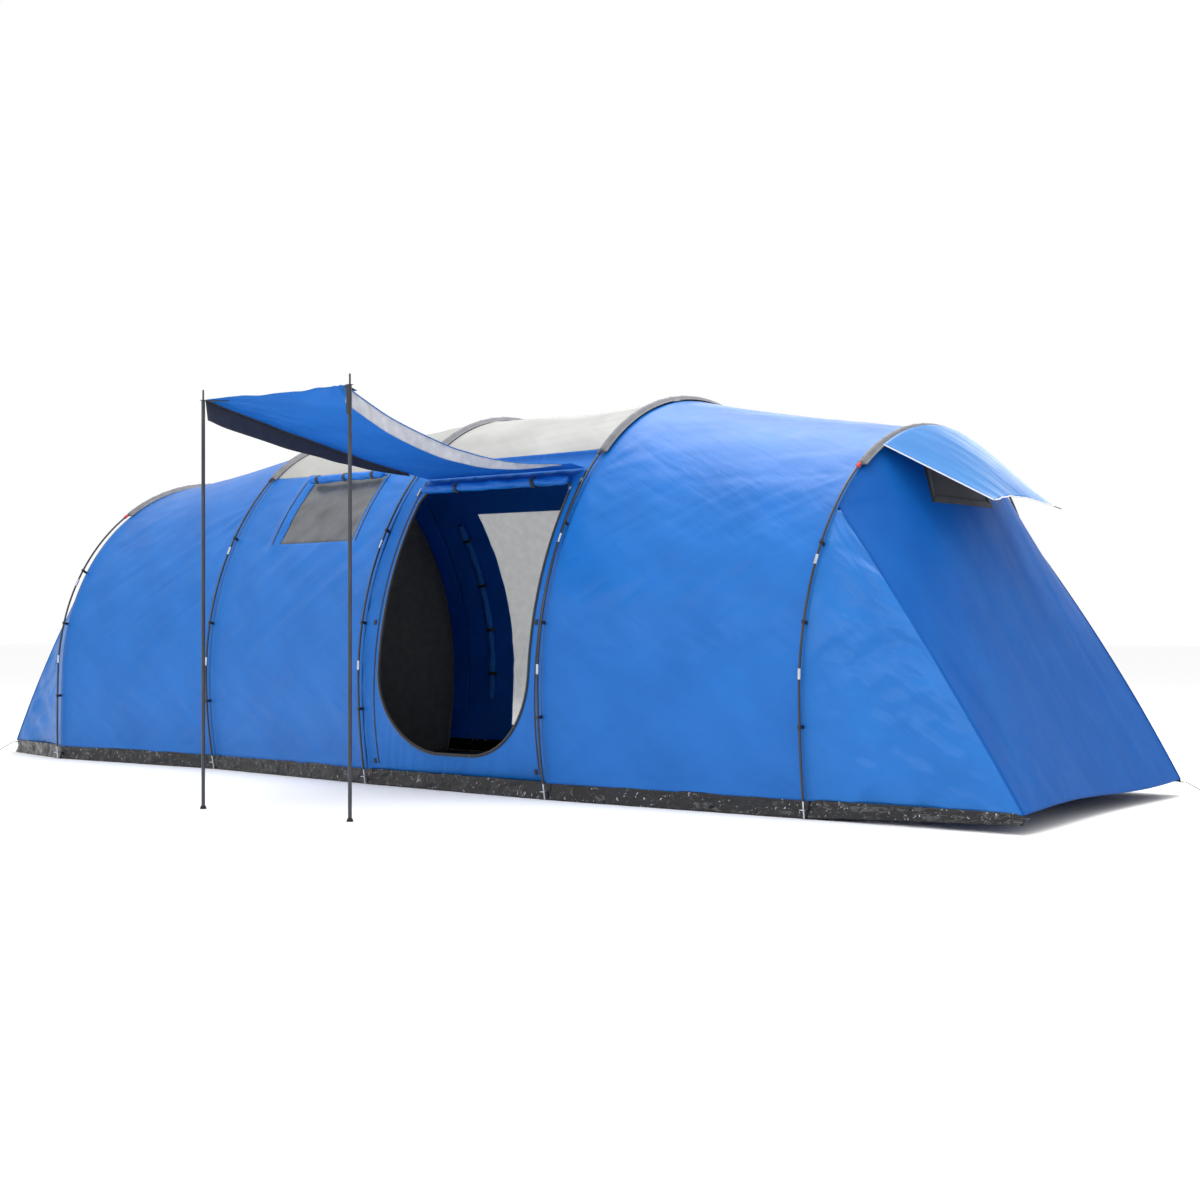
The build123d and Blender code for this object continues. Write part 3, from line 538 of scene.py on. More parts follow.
def pull_lines(grid, values, axis, stations, rows=slice(None)):
    """Moves the nearest grid line onto each value, so that an opening has clean edges."""
    for value in stations:
        mean = np.abs(grid[rows, :, axis] - value)
        column = int(mean.mean(axis=0).argmin())
        values[column] = value
    return values


def place_columns(x_from, x_to, count, stations):
    """Evenly spaced x values, with the nearest one moved onto each station."""
    x = np.linspace(x_from, x_to, count)
    for station in stations:
        x[np.abs(x - station).argmin()] = station
    return x


for bay, name, seed in ((0, "left", 100), (3, "right", 200)):
    grid, uv = tunnel_bay(bay, 1.15, seed)
    mesh = sheet_mesh("fly_" + name, grid, uv=uv)
    piece = add_object("fly_" + name, mesh, fly_blue, replaced=["bedroom_fly_" + name])


def middle_bay(bay, seed, x_stations):
    """Bay with a pale roof; columns are moved onto the edges of its openings."""
    grid, uv = tunnel_bay(bay, roof_line, seed)
    first, last = hoop_x[bay], hoop_x[bay + 1]
    wanted = place_columns(first, last, bay_columns, x_stations)
    even = np.linspace(first, last, bay_columns)
    moved = np.empty_like(grid)
    moved_uv = np.empty_like(uv)
    for k, x in enumerate(wanted):
        place = np.interp(x, even, np.arange(bay_columns))
        low = min(int(place), bay_columns - 2)
        share = place - low
        moved[:, k] = grid[:, low] * (1 - share) + grid[:, low + 1] * share
        moved_uv[:, k] = uv[:, low] * (1 - share) + uv[:, low + 1] * share
    return moved, moved_uv


def level_rows(grid, uv, heights, side):
    """Moves the nearest row of one wall onto each height."""
    wall = range(0, low_rows) if side < 0 else range(grid.shape[0] - low_rows, grid.shape[0])
    for height in heights:
        for column in range(grid.shape[1]):
            z = grid[wall.start:wall.stop, column, 2]
            row = wall.start + int(np.abs(z - height).argmin())
            other = row + 1 if (grid[row, column, 2] - height) * (grid[row + 1, column, 2] - height) <= 0 else row - 1
            a, b = grid[row, column], grid[other, column]
            share = (height - a[2]) / (b[2] - a[2] + 1e-9)
            grid[row, column] = a + (b - a) * share
            uv[row, column] = uv[row, column] + (uv[other, column] - uv[row, column]) * share


roof_rows = slice(low_rows - 1, low_rows + 2 * high_rows - 2)
near_rows = slice(0, low_rows)
far_rows = slice(low_rows + 2 * high_rows - 3, None)

grid, uv = middle_bay(1, 300, window_x + rear_door_x)
level_rows(grid, uv, window_z, -1)
level_rows(grid, uv, rear_door_z, 1)
mesh = sheet_mesh("window_wall_cloth", grid[near_rows], snap_to_outline(grid[near_rows],
                  rectangle(window_x, window_z, -1)), uv=uv[near_rows])
piece = add_object("window_wall_cloth", mesh, fly_blue, replaced=["window_wall"])
mesh = sheet_mesh("window_film_sheet", grid[near_rows] + outward(grid[near_rows]) * -0.0015,
                  ~snap_to_outline(grid[near_rows], rectangle(window_x, window_z, -1)), uv=uv[near_rows])
piece = add_object("window_film_sheet", mesh, window_film, replaced=["window_pane"])
mesh = sheet_mesh("roof_window_cloth", grid[roof_rows], uv=uv[roof_rows])
piece = add_object("roof_window_cloth", mesh, white_roof, replaced=["roof_window_bay"])
keep = snap_to_outline(grid[far_rows], rectangle(rear_door_x, rear_door_z, 1))
mesh = sheet_mesh("rear_wall_window_cloth", grid[far_rows], keep, uv=uv[far_rows])
piece = add_object("rear_wall_window_cloth", mesh, fly_blue, replaced=["rear_wall_window_bay"])
mesh = sheet_mesh("rear_mesh_sheet", grid[far_rows] + outward(grid[far_rows]) * -0.0015, ~keep, uv=uv[far_rows])
piece = add_object("rear_mesh_sheet", mesh, mesh_pale, replaced=["rear_door_mesh"])

grid, uv = tunnel_bay(2, roof_line, 400)
mesh = sheet_mesh("roof_porch_cloth", grid[roof_rows], uv=uv[roof_rows])
piece = add_object("roof_porch_cloth", mesh, white_roof, replaced=["roof_porch_bay"])
mesh = sheet_mesh("rear_wall_porch_cloth", grid[far_rows], uv=uv[far_rows])
piece = add_object("rear_wall_porch_cloth", mesh, fly_blue, replaced=["rear_wall_porch_bay"])

# ---- porch wall with its D-shaped doorway --------------------------------------------


def porch_wall_y(z, out=0.0):
    return porch_centre[0] - np.sqrt((porch_radius + out) ** 2 - (z - porch_centre[1]) ** 2)


def door_distance(x, z, grow=0.0):
    """Signed distance to the doorway's outline, negative inside."""
    left, right = door_x[0] - grow, door_x[1] + grow
    bottom, top = door_z[0] - grow, door_z[1] + grow
    middle_x, middle_z = (left + right) / 2, (bottom + top) / 2
    radius = np.where(z < middle_z, door_low_corner + grow, door_high_corner + grow)
    qx = np.abs(x - middle_x) - (right - left) / 2 + radius
    qz = np.abs(z - middle_z) - (top - bottom) / 2 + radius
    return np.hypot(np.maximum(qx, 0), np.maximum(qz, 0)) + np.minimum(np.maximum(qx, qz), 0) - radius


def snap_door(x, z, grow=0.0, reach=0.008):
    """Moves points near the doorway's outline onto it."""
    for _ in range(3):
        d = door_distance(x, z, grow)
        e = 1e-4
        gx = (door_distance(x + e, z, grow) - d) / e
        gz = (door_distance(x, z + e, grow) - d) / e
        near = np.abs(d) < reach
        x, z = np.where(near, x - gx * d, x), np.where(near, z - gz * d, z)
    return x, z


porch_columns, porch_rows = 128, 156
x, z = np.meshgrid(np.linspace(hoop_x[2], hoop_x[3], porch_columns), np.linspace(hem, roof_line, porch_rows))
x, z = snap_door(x, z)
wall_y = porch_wall_y(z)
fly_y = np.empty_like(wall_y)
for hoop in (2, 3):
    arch = Arch(hoop, 0.0, fly_below, fly_inside)
    edge = -np.array([arch.y(h) for h in z[:, 0 if hoop == 2 else -1]])[:, None]
    reach = 0.075
    share = fade(reach - np.abs(x - hoop_x[hoop]), reach)
    wall_y = wall_y * (1 - share) + np.minimum(edge, wall_y) * share
top_share = fade(z - 1.56, 0.08)
arch_y = np.stack([[-Arch(hoop, 0.0, fly_below, fly_inside).y(roof_line) for hoop in (2, 3)]] * porch_rows)
roof_y = arch_y[:, :1] + (arch_y[:, 1:] - arch_y[:, :1]) * (x - hoop_x[2]) / (hoop_x[3] - hoop_x[2])
wall_y = wall_y * (1 - top_share) + roof_y * top_share
grid = np.stack([x, wall_y, z], axis=2)
from_door = np.maximum(door_distance(x, z), 0)
from_zip = np.minimum(np.abs(x - porch_zip_x[0]), np.abs(x - porch_zip_x[1]))
slack = 0.0040 * np.abs(folds(x, z, 1.2, 0.30, 0.05, 500)) * fade(from_door, 0.05) * fade(from_zip - 0.006, 0.05)
grid[..., 1] += slack
corner = (x[:-1, :-1] + x[1:, 1:]) / 2, (z[:-1, :-1] + z[1:, 1:]) / 2
mesh = sheet_mesh("porch_wall_cloth", grid, door_distance(*corner) > 0, uv=np.stack([x, z], axis=2))
piece = add_object("porch_wall_cloth", mesh, fly_blue, replaced=["porch_wall"])


# ---- closed tubes, strips and rolls ---------------------------------------------------
def frames_along(path, up):
    """Unit vectors along a path and two across it."""
    along = np.gradient(path, axis=0)
    along /= np.linalg.norm(along, axis=1, keepdims=True)
    side = np.cross(along, up)
    side /= np.maximum(np.linalg.norm(side, axis=1, keepdims=True), 1e-9)
    return along, side, np.cross(side, along)


def loft_mesh(name, rings, closed_ends=True):
    """Closed mesh through rings of points, shape (rings, points, 3)."""
    count, size, _ = rings.shape
    points = rings.reshape(-1, 3)
    faces = []
    for k in range(count - 1):
        for j in range(size):
            n = (j + 1) % size
            faces.append((k * size + j, k * size + n, (k + 1) * size + n, (k + 1) * size + j))
    if closed_ends:
        faces.append(tuple(range(size))[::-1])
        faces.append(tuple(range((count - 1) * size, count * size)))
    mesh = bpy.data.meshes.new(name)
    mesh.from_pydata(points.tolist(), [], faces)
    steps = np.linalg.norm(np.diff(rings.mean(axis=1), axis=0), axis=1)
    v = np.repeat(np.concatenate([[0], np.cumsum(steps)]), size)
    girth = np.linalg.norm(rings[:, 0] - rings[:, size // 2], axis=1).mean() * math.pi / size
    u = np.tile(np.arange(size) * girth, count)
    layer = mesh.uv_layers.new(name="uv")
    loops = np.array([loop.vertex_index for loop in mesh.loops])
    layer.data.foreach_set("uv", np.stack([u[loops], v[loops]], axis=1).astype(np.float32).reshape(-1))
    return mesh


def profile_loft(name, path, up, profile):
    """Loft of a profile, given as (across, above) points or a function of the path's share."""
    _, side, above = frames_along(path, up)
    rings = []
    for k in range(len(path)):
        shape = profile(k / (len(path) - 1)) if callable(profile) else profile
        rings.append(path[k] + shape[:, :1] * side[k] + shape[:, 1:] * above[k])
    return loft_mesh(name, np.array(rings))


def ellipse(half_width, half_height, count=16):
    turn = np.linspace(0, 2 * math.pi, count, endpoint=False)
    return np.stack([half_width * np.cos(turn), half_height * np.sin(turn)], axis=1)


def arch_path(hoop, z_from, count, inset=pole_inside, lower=0.0, narrower=0.0):
    """Points over the crown of an arch, near side to far side, with outward vectors."""
    arch = Arch(hoop, inset, lower, narrower)
    half = arch.half(z_from, None, count)
    near, far = arch.place(half, -1), arch.place(half[:-1][::-1])
    return np.concatenate([near, far])


def outward_of(path):
    """Outward vectors square to a path in an arch's plane."""
    along = np.gradient(path, axis=0)
    along /= np.linalg.norm(along, axis=1, keepdims=True)
    return np.cross(along, np.array([-1.0, 0.0, 0.0]))


# Pole sleeves: a domed tunnel between two stitched flanges
for hoop in range(5):
    path = arch_path(hoop, sleeve_end[hoop], 70)
    up = outward_of(path)
    if up[len(up) // 2][2] < 0:
        up = -up

    def sleeve_profile(share, hoop=hoop):
        ripple = 0.0012 * math.sin(share * 97 + hoop) + 0.0009 * math.sin(share * 223 + 2 * hoop)
        close = min(share, 1 - share)
        dome = 0.0105 * min(1.0, 0.72 + close * 14)
        across = (-0.030, -0.024, -0.019, -0.0135, -0.0065, 0.0, 0.0065, 0.0135, 0.019, 0.024, 0.030)
        above = [-0.0090, -0.0082, -0.0055, 0.35 * dome, 0.88 * dome, dome + ripple, 0.88 * dome,
                 0.35 * dome, -0.0055, -0.0082, -0.0090]
        top = np.array([(a, b) for a, b in zip(across, above)])
        under = np.array([(a, -0.0106) for a in across[::-1]])
        return np.concatenate([top, under])

    mesh = profile_loft("sleeve_%d" % (hoop + 1), path, up, sleeve_profile)
    add_object("sleeve_%d" % (hoop + 1), mesh, sleeve_grey,
               replaced=["pole_sleeve_%d" % (hoop + 1)])


# Webbing collars where the poles leave their sleeves, red on the end hoops
collar_length, collar_below, collar_radius = 0.020, 0.022, 0.0088
for hoop in range(5):
    arch = Arch(hoop, pole_inside)
    for side, name in ((-1, "near"), (1, "far")):
        low = sleeve_end[hoop] - collar_below
        line = np.array([(arch.y(z), z) for z in np.linspace(low, low + collar_length, 7)])
        path = arch.place(line, side)

        def collar_profile(share):
            swell = collar_radius * (0.82 + 0.18 * math.sin(math.pi * share) ** 0.5)
            return ellipse(swell, swell * 0.92, 18)

        mesh = profile_loft("sleeve_collar_%d_%s" % (hoop + 1, name), path, np.array([1.0, 0.0, 0.0]), collar_profile)
        add_object(mesh.name, mesh, red_webbing if hoop in (0, 4) else webbing,
                   replaced=["sleeve_tabs"] if hoop == 0 and side < 0 else [])


def bundle(name, path, up, radius, ties, turns, seed, material, replaced):
    """Cloth rolled up loosely: a lumpy roll with spiral folds, drawn in at its ties."""
    count = 26

    def section(share):
        angle = np.linspace(0, 2 * math.pi, count, endpoint=False)
        lumps = lattice_noise(angle * 1.6 + 9 * math.sin(share * 3), np.full(count, share * 16), seed)
        lumps = lumps + 0.5 * lattice_noise(angle * 3.3, np.full(count, share * 41), seed + 1)
        spiral = np.cos(angle * 3 + share * turns)
        pinch = sum(math.exp(-((share - tie) / 0.022) ** 2) for tie in ties)
        end = min(share, 1 - share) / 0.03
        size = radius * (1 - 0.20 * pinch) * min(1.0, 0.72 + 0.28 * end)
        r = size * (0.93 + 0.075 * lumps + 0.05 * spiral)
        return np.stack([r * np.cos(angle), r * np.sin(angle)], axis=1)

    mesh = profile_loft(name, path, up, section)
    return add_object(name, mesh, material, replaced=replaced)


def straight(a, b, count, sag=0.0):
    share = np.linspace(0, 1, count)[:, None]
    path = np.array(a) * (1 - share) + np.array(b) * share
    path[:, 2] -= (sag * 4 * share * (1 - share))[:, 0]
    return path


door_roll_radius = 0.024
roll_low, roll_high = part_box("door_roll")
roll_y, roll_z = (roll_low.y + roll_high.y) / 2, (roll_low.z + roll_high.z) / 2
path = straight((roll_low.x, roll_y, roll_z), (roll_high.x, roll_y, roll_z), 150)
bundle("door_bundle", path, np.array([0.0, 0.0, 1.0]), door_roll_radius, (0.25, 0.78), 30, 610, roll_blue,
       ["door_roll"])

roll_low, roll_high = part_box("window_curtain_roll")
curtain_radius = 0.022
arch_left = Arch(1, 0.0, fly_below, fly_inside)
curtain = [(roll_low.x + 0.001, roll_low.y, 1.604), (roll_high.x - 0.001, roll_low.y, 1.604)]
left_y = roll_high.y - curtain_radius
right_y = roll_low.y + curtain_radius
curtain = [(window_x[0], left_y, 1.604), (window_x[1], right_y, 1.604)]
bundle("curtain_bundle", straight(*curtain, 120), np.array([0.0, 0.0, 1.0]), curtain_radius, (0.12, 0.5, 0.88), 24,
       620, roll_blue, ["window_curtain_roll"])

roll_low, roll_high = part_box("rear_door_roll")
rear_radius = 0.026
heights = np.linspace(0.330, 1.440, 120)
rear_inset = 0.0347 + 0.002


def fly_point_y(x, z):
    """Near-enough y of the fly between two hoops, on the +Y side."""
    bay = max(k for k in range(4) if x >= hoop_x[k])
    share = (x - hoop_x[bay]) / (hoop_x[bay + 1] - hoop_x[bay])
    low = Arch(bay, 0.0, fly_below, fly_inside).y(z)
    high = Arch(bay + 1, 0.0, fly_below, fly_inside).y(z)
    return low + (high - low) * share


path = np.array([(rear_roll_x, fly_point_y(rear_roll_x, h), h) for h in heights])
along = np.gradient(path, axis=0)
along /= np.linalg.norm(along, axis=1, keepdims=True)
inward = np.cross(along, np.array([1.0, 0.0, 0.0]))
inward *= np.where(inward[:, 1:2] > 0, -1, 1)
path = path + inward * rear_inset
bundle("rear_door_bundle", path, inward, rear_radius, (0.15, 0.4, 0.65, 0.9), 40, 630, roll_blue,
       ["rear_door_roll"])

# Black bound edge round the doorway
binding_width = 0.014
outline = []
for corner_x, corner_z, radius, start in (
        (door_x[1] - door_low_corner, door_z[0] + door_low_corner, door_low_corner, -90),
        (door_x[1] - door_high_corner, door_z[1] - door_high_corner, door_high_corner, 0),
        (door_x[0] + door_high_corner, door_z[1] - door_high_corner, door_high_corner, 90),
        (door_x[0] + door_low_corner, door_z[0] + door_low_corner, door_low_corner, 180)):
    for k in range(25):
        turn = math.radians(start + 90 * k / 24)
        outline.append((corner_x + radius * math.cos(turn), corner_z + radius * math.sin(turn)))
outline = resample(np.array(outline + outline[:1]), 420)
middle = np.array([sum(door_x) / 2, sum(door_z) / 2])
edge = np.gradient(outline, axis=0)
edge /= np.linalg.norm(edge, axis=1, keepdims=True)
side = np.stack([edge[:, 1], -edge[:, 0]], axis=1)
bands = []
for offset, rise in ((0.0005, -0.003), (0.0005, 0.0035), (binding_width * 0.5, 0.0048), (binding_width, 0.0030)):
    ring = outline + side * offset
    bands.append(np.stack([ring[:, 0], porch_wall_y(ring[:, 1], rise), ring[:, 1]], axis=1))
mesh = sheet_mesh("door_edge", np.array(bands), thickness=0.0014)
add_object("door_edge", mesh, webbing, replaced=["door_binding"])

# ---- sloping ends ------------------------------------------------------------------
end_rows, end_columns = 110, 120
gusset_rows, gusset_columns = 90, 60
seam_bow = 0.030
face_hollow = 0.022
hem_lift = 0.012


def end_edges(name):
    hoop = 0 if name == "left" else 4
    sign = -1 if name == "left" else 1
    arch = Arch(hoop, 0.0, fly_below, fly_inside)
    legs = arch.place(arch.half(hem, gusset_top, gusset_rows))
    crown = arch.half(gusset_top, None, end_columns // 2 + 1)
    near = arch.place(crown, -1)
    top = np.concatenate([near, arch.place(crown[:-1][::-1])])
    base = np.array([[x, y, hem] for x, y in corners[name]])
    return sign, legs, top, base


def seam_line(top, corner, share, sign):
    """Seam between gusset and face, bowed outwards along the tunnel."""
    line = top * (1 - share) + corner * share
    bow = seam_bow * 4 * share * (1 - share)
    line[:, :1] += sign * bow
    line[:, 1:2] += math.copysign(0.5, corner[1]) * bow
    return line


def vent_inside(p, name):
    """Cells of the vent's trapezoid."""
    share = np.clip((p[..., 2] - vent_z[0]) / (vent_z[1] - vent_z[0]), 0, 1)
    half = vent_half[0] + (vent_half[1] - vent_half[0]) * share
    return (np.abs(p[..., 1]) < half) & (p[..., 2] > vent_z[0]) & (p[..., 2] < vent_z[1])


for name, seed in (("left", 700), ("right", 800)):
    sign, legs, top, base = end_edges(name)
    count = len(top)
    across = np.linspace(0, 1, count)
    down = np.linspace(0, 1, end_rows)[:, None]
    hem_line = base[0] + (base[1] - base[0]) * across[:, None]
    scallop = np.sin(across * math.pi) ** 2
    hem_line[:, 2] += (hem_lift if name == "right" else 0.0) * np.sin(across * 2 * math.pi)
    hem_line[:, 0] -= sign * 0.030 * scallop
    near_seam = seam_line(top[0], base[0], down, sign)
    far_seam = seam_line(top[-1], base[1], down, sign)
    face = top[None] * (1 - down[..., None]) + hem_line[None] * down[..., None]
    edge_share = np.abs(2 * across - 1)[None, :, None]
    bow = np.where((across < 0.5)[None, :, None], (near_seam - face[:, 0])[:, None], (far_seam - face[:, -1])[:, None])
    face = face + bow * edge_share ** 3
    normal = grid_normals(face)
    normal *= np.where((normal[..., :1] * sign) < 0, -1, 1)
    u, v = grid_uv(face)
    inner = fade(1 - edge_share[..., 0], 0.12) * fade(down, 0.05) * fade(1 - down, 0.03)
    slack = -face_hollow * np.sin(np.pi * down) * (1 - edge_share[..., 0] ** 2)
    slack = slack + 0.0020 * folds(u, v, 1.35, 0.90, 0.130, seed) * inner
    for k, at in enumerate(((0.0, 0.0), (float(u.max()), 0.0), (0.0, float(v.max())), (float(u.max()), float(v.max())))):
        slack = slack + 0.006 * pull(u, v, at, 6.0, 0.40, seed + 5 + k) * inner
    face = face + normal * slack[..., None]
    centre = (face[:-1, :-1] + face[1:, 1:]) / 2
    vent = vent_inside(centre, name)
    mesh = sheet_mesh("end_face_" + name, face, ~vent)
    piece = add_object("end_face_" + name, mesh, end_blue_painted_shade, replaced=["end_panel_" + name])
    mesh = sheet_mesh("vent_screen_" + name, face - normal * 0.002, vent)
    replaced = ["vent_meshes"] if name == "right" else []
    piece = add_object("vent_screen_" + name, mesh, mesh_black, replaced=replaced)

    low, high = vent_half
    trapezoid = np.array([(-low, vent_z[0]), (low, vent_z[0]), (high, vent_z[1]), (-high, vent_z[1]),
                          (-low, vent_z[0])])
    trapezoid = np.concatenate([resample(trapezoid[k:k + 2], 40)[:-1] for k in range(4)])
    bands = []
    for grow, rise in ((-0.014, 0.0012), (0.0, 0.0030), (0.016, 0.0012)):
        scale = 1 + grow / np.array([high, (vent_z[1] - vent_z[0]) / 2])
        ring = trapezoid * scale + np.array([0.0, sum(vent_z) / 2]) * (1 - scale)
        ring = np.concatenate([ring, ring[:1]])
        flat = face.reshape(-1, 3)
        distance = np.hypot(ring[:, :1] - flat[None, :, 1], ring[:, 1:] - flat[None, :, 2])
        nearest = np.argsort(distance, axis=1)[:, :4]
        weight = 1 / (np.take_along_axis(distance, nearest, axis=1) + 1e-4)
        x = (flat[nearest, 0] * weight).sum(axis=1) / weight.sum(axis=1)
        bands.append(np.stack([x + sign * rise, ring[:, 0], ring[:, 1]], axis=1))
    mesh = sheet_mesh("vent_tape_" + name, np.array(bands), thickness=0.001)
    add_object(mesh.name, mesh, mesh_black)

    share = np.linspace(0, 1, gusset_rows)[:, None]
    for side, corner in ((-1, base[0]), (1, base[1])):
        leg = legs * np.array([1, side, 1])
        seam_top = top[0] if side < 0 else top[-1]
        seam = seam_line(seam_top, corner, 1 - share, sign)
        width = np.linspace(0, 1, gusset_columns)[None, :, None]
        gusset = leg[:, None] * (1 - width) + seam[:, None] * width
        normal = grid_normals(gusset[:-1])
        normal = np.concatenate([normal, normal[-1:]])
        normal *= np.where(normal[..., 1:2] * side < 0, -1, 1)
        u, v = grid_uv(gusset)
        held = fade(width[..., 0], 0.15) * fade(1 - width[..., 0], 0.12) * fade(1 - share, 0.25)
        slack = -0.020 * np.sin(math.pi * width[..., 0]) * fade(1 - share, 0.6)
        slack = slack + (0.0085 * folds(u, v, 0.75, 0.24, 0.085, seed + 20 + side)
                         + 0.0060 * folds(u, v, -0.4, 0.16, 0.060, seed + 30 + side)) * held
        slack = slack + 0.007 * pull(u, v, (0.0, float(v.max())), 6.0, 0.45, seed + 40 + side) * held
        gusset = gusset + normal * slack[..., None]
        mesh = sheet_mesh("gusset_%s_%s" % (name, "near" if side < 0 else "far"), gusset[:-1])
        piece = add_object(mesh.name, mesh, gusset_blue)
        reach = abs(corner[0] - leg[0][0])
        # Stitched seam along the gusset's sloping edge
        line = resample(seam[:-2] + normal[:-2, -1] * 0.0015, 120)
        mesh = profile_loft("end_seam_%s_%s" % (name, "near" if side < 0 else "far"), line,
                            normal[:-2, -1].mean(axis=0), ellipse(0.0045, 0.0018, 8))
        add_object(mesh.name, mesh, end_blue_painted_shade)

# Vent hoods: arched at the root, straight and piped at the tip
for name, hoop, sign in (("left", 0, -1), ("right", 4, 1)):
    arch = Arch(hoop, pole_inside)
    centre_z, radius = arch.crown[1], arch.crown[2]
    angle = math.asin(hood_root_half / radius)
    turns = np.linspace(angle, -angle, 60)
    root = arch.place(np.stack([-radius * np.sin(turns), centre_z + radius * np.cos(turns)], axis=1))
    root[:, 0] += sign * hood_root_gap * math.cos(arch.lean)
    tip_y = np.linspace(-hood_tip_half, hood_tip_half, 60)
    notch = 0.035 * np.sin(np.linspace(0, math.pi, 60))
    tip = np.stack([np.full(60, hoop_x[hoop] + sign * (hood_root_gap + hood_reach)) - sign * notch, tip_y,
                    hood_tip_z + 0.030 * np.sin(np.linspace(0, math.pi, 60))], axis=1)
    share = np.linspace(0, 1, 48)[:, None, None]
    hood = root[None] * (1 - share) + tip[None] * share
    u, v = grid_uv(hood)
    edge = np.minimum(np.linspace(0, 1, 60), np.linspace(1, 0, 60))[None]
    hood[..., 2] += 0.020 * np.sin(math.pi * share[..., 0]) * np.sin(np.linspace(0, math.pi, 60))[None]
    hood[..., 2] += 0.0030 * folds(u, v, 1.45, 0.5, 0.05, 900 + hoop) * fade(edge, 0.08) * fade(share[..., 0], 0.12)
    mesh = sheet_mesh("hood_" + name + "_cloth", hood)
    body = "hood_" + name
    piece = add_object("hood_%s_cloth" % name, mesh, hood_blue, body, ["vent_hood_" + name])
    up = np.array([0.0, 0.0, 1.0])
    for k, line in enumerate((hood[:, 0], hood[:, -1], hood[-1])):
        mesh = profile_loft("hood_%s_piping_%d" % (name, k + 1), resample(line, 60), up + 0.001, ellipse(0.0028, 0.0028, 8))
        add_object(mesh.name, mesh, white_piping, body)
    for k, end in enumerate((hood[-1, 0], hood[-1, -1])):
        tail = straight(end, end + np.array([sign * 0.030, 0.0, -0.012]), 6)
        mesh = profile_loft("hood_%s_tab_%d" % (name, k + 1), tail, up, ellipse(0.009, 0.0018, 10))
        add_object(mesh.name, mesh, webbing, body)

# ---- canopy ------------------------------------------------------------------------
canopy_columns, canopy_rows = 70, 110
sag_left, sag_right = 0.022, 0.100
across = np.linspace(0, 1, canopy_columns)[None]
seam_edge = [np.array([x, seam_y - 0.001, seam_z]) for x in canopy_root_x]
fold_edge = [np.array([x, fold_y, fold_z]) for x in canopy_root_x]
front_edge = [np.array(p) for p in canopy_front]
strip_rows = 8
strip = np.linspace(0, 1, strip_rows, endpoint=False)[:, None, None]
panel = np.linspace(0, 1, canopy_rows)[:, None, None]
blend_x = across[..., None]
seam_row = seam_edge[0] * (1 - blend_x) + seam_edge[1] * blend_x
fold_row = fold_edge[0] * (1 - blend_x) + fold_edge[1] * blend_x
front_row = front_edge[0] * (1 - blend_x) + front_edge[1] * blend_x
upper = seam_row * (1 - strip) + fold_row * strip
lower = fold_row * (1 - panel) + front_row * panel
hang = 4 * panel[..., 0] * (1 - panel[..., 0])
lower[..., 2] -= (sag_left + (sag_right - sag_left) * across ** 1.3) * hang
lower[..., 0] += 0.035 * (1 - 2 * across) * hang
lower[..., 1] += 0.030 * np.sin(math.pi * across) * panel[..., 0] ** 3
canopy = np.concatenate([upper, lower])
u, v = grid_uv(canopy)
from_root = fade(v, 0.25)
canopy[..., 2] += 0.0035 * folds(u, v, 1.3, 0.60, 0.09, 950) * from_root * fade(v.max() - v, 0.06)
for k, at in enumerate(((0.0, float(v.max())), (float(u[-1].max()), float(v.max())))):
    canopy[..., 2] += 0.010 * pull(u, v, at, 7.0, 0.45, 960 + k) * from_root
mesh = sheet_mesh("canopy_cloth", canopy)
piece = add_object("canopy_cloth", mesh, canopy_blue, None, ["canopy_panel", "canopy_seam"])
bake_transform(piece)

# Hanging flaps along both side edges, and the dark tape inside the left one
# the left flap is the same cloth as the right one, drawn dark grey as painted shade on its shadowed inner face
for name, column, drop_root, drop_more, drop_turn, material, seed in (
        ("left", 0, 0.012, 0.076, 0.50, valance_painted_shade, 970), ("right", -1, 0.004, 0.062, 0.62, valance_grey, 980)):
    edge = canopy[strip_rows + 4:, column]
    count = len(edge)
    share = np.linspace(0, 1, count)[:, None]
    drop = drop_root + drop_more * np.sin(share * math.pi * drop_turn)
    down = np.linspace(0, 1, 9)[None]
    flap = np.repeat(edge[:, None], 9, axis=1)
    flap[..., 2] -= 0.001 + drop * down
    wave = lattice_noise(share * 12, np.zeros_like(share), seed) * 0.007
    flap[..., 0] += (wave + (0.010 if name == "left" else -0.010)) * down
    mesh = sheet_mesh("canopy_flap_" + name, flap)
    piece = add_object("canopy_flap_" + name, mesh, material, "canopy", ["canopy_valance_" + name])
    mesh = profile_loft("canopy_tape_" + name, resample(edge, 90), np.array([0.0, 0.0, 1.0]),
                        ellipse(0.011 if name == "left" else 0.004, 0.0022, 10))
    add_object(mesh.name, mesh, webbing if name == "left" else canopy_blue, "canopy")
front_tape = canopy[-1]
mesh = profile_loft("canopy_front_hem", resample(front_tape, 60), np.array([0.0, 0.0, 1.0]), ellipse(0.007, 0.0022, 10))
add_object(mesh.name, mesh, canopy_blue, "canopy")
for name, index in (("left", 0), ("right", -1)):
    end = canopy[-1, index]
    inner = end + np.array([0.07 if index == 0 else -0.07, 0.075, -0.004])
    mesh = profile_loft("canopy_patch_" + name, straight(end, inner, 10), np.array([0.0, 0.0, 1.0]),
                        lambda share: ellipse(0.012 + 0.02 * share, 0.0018, 12))
    add_object(mesh.name, mesh, webbing, "canopy")

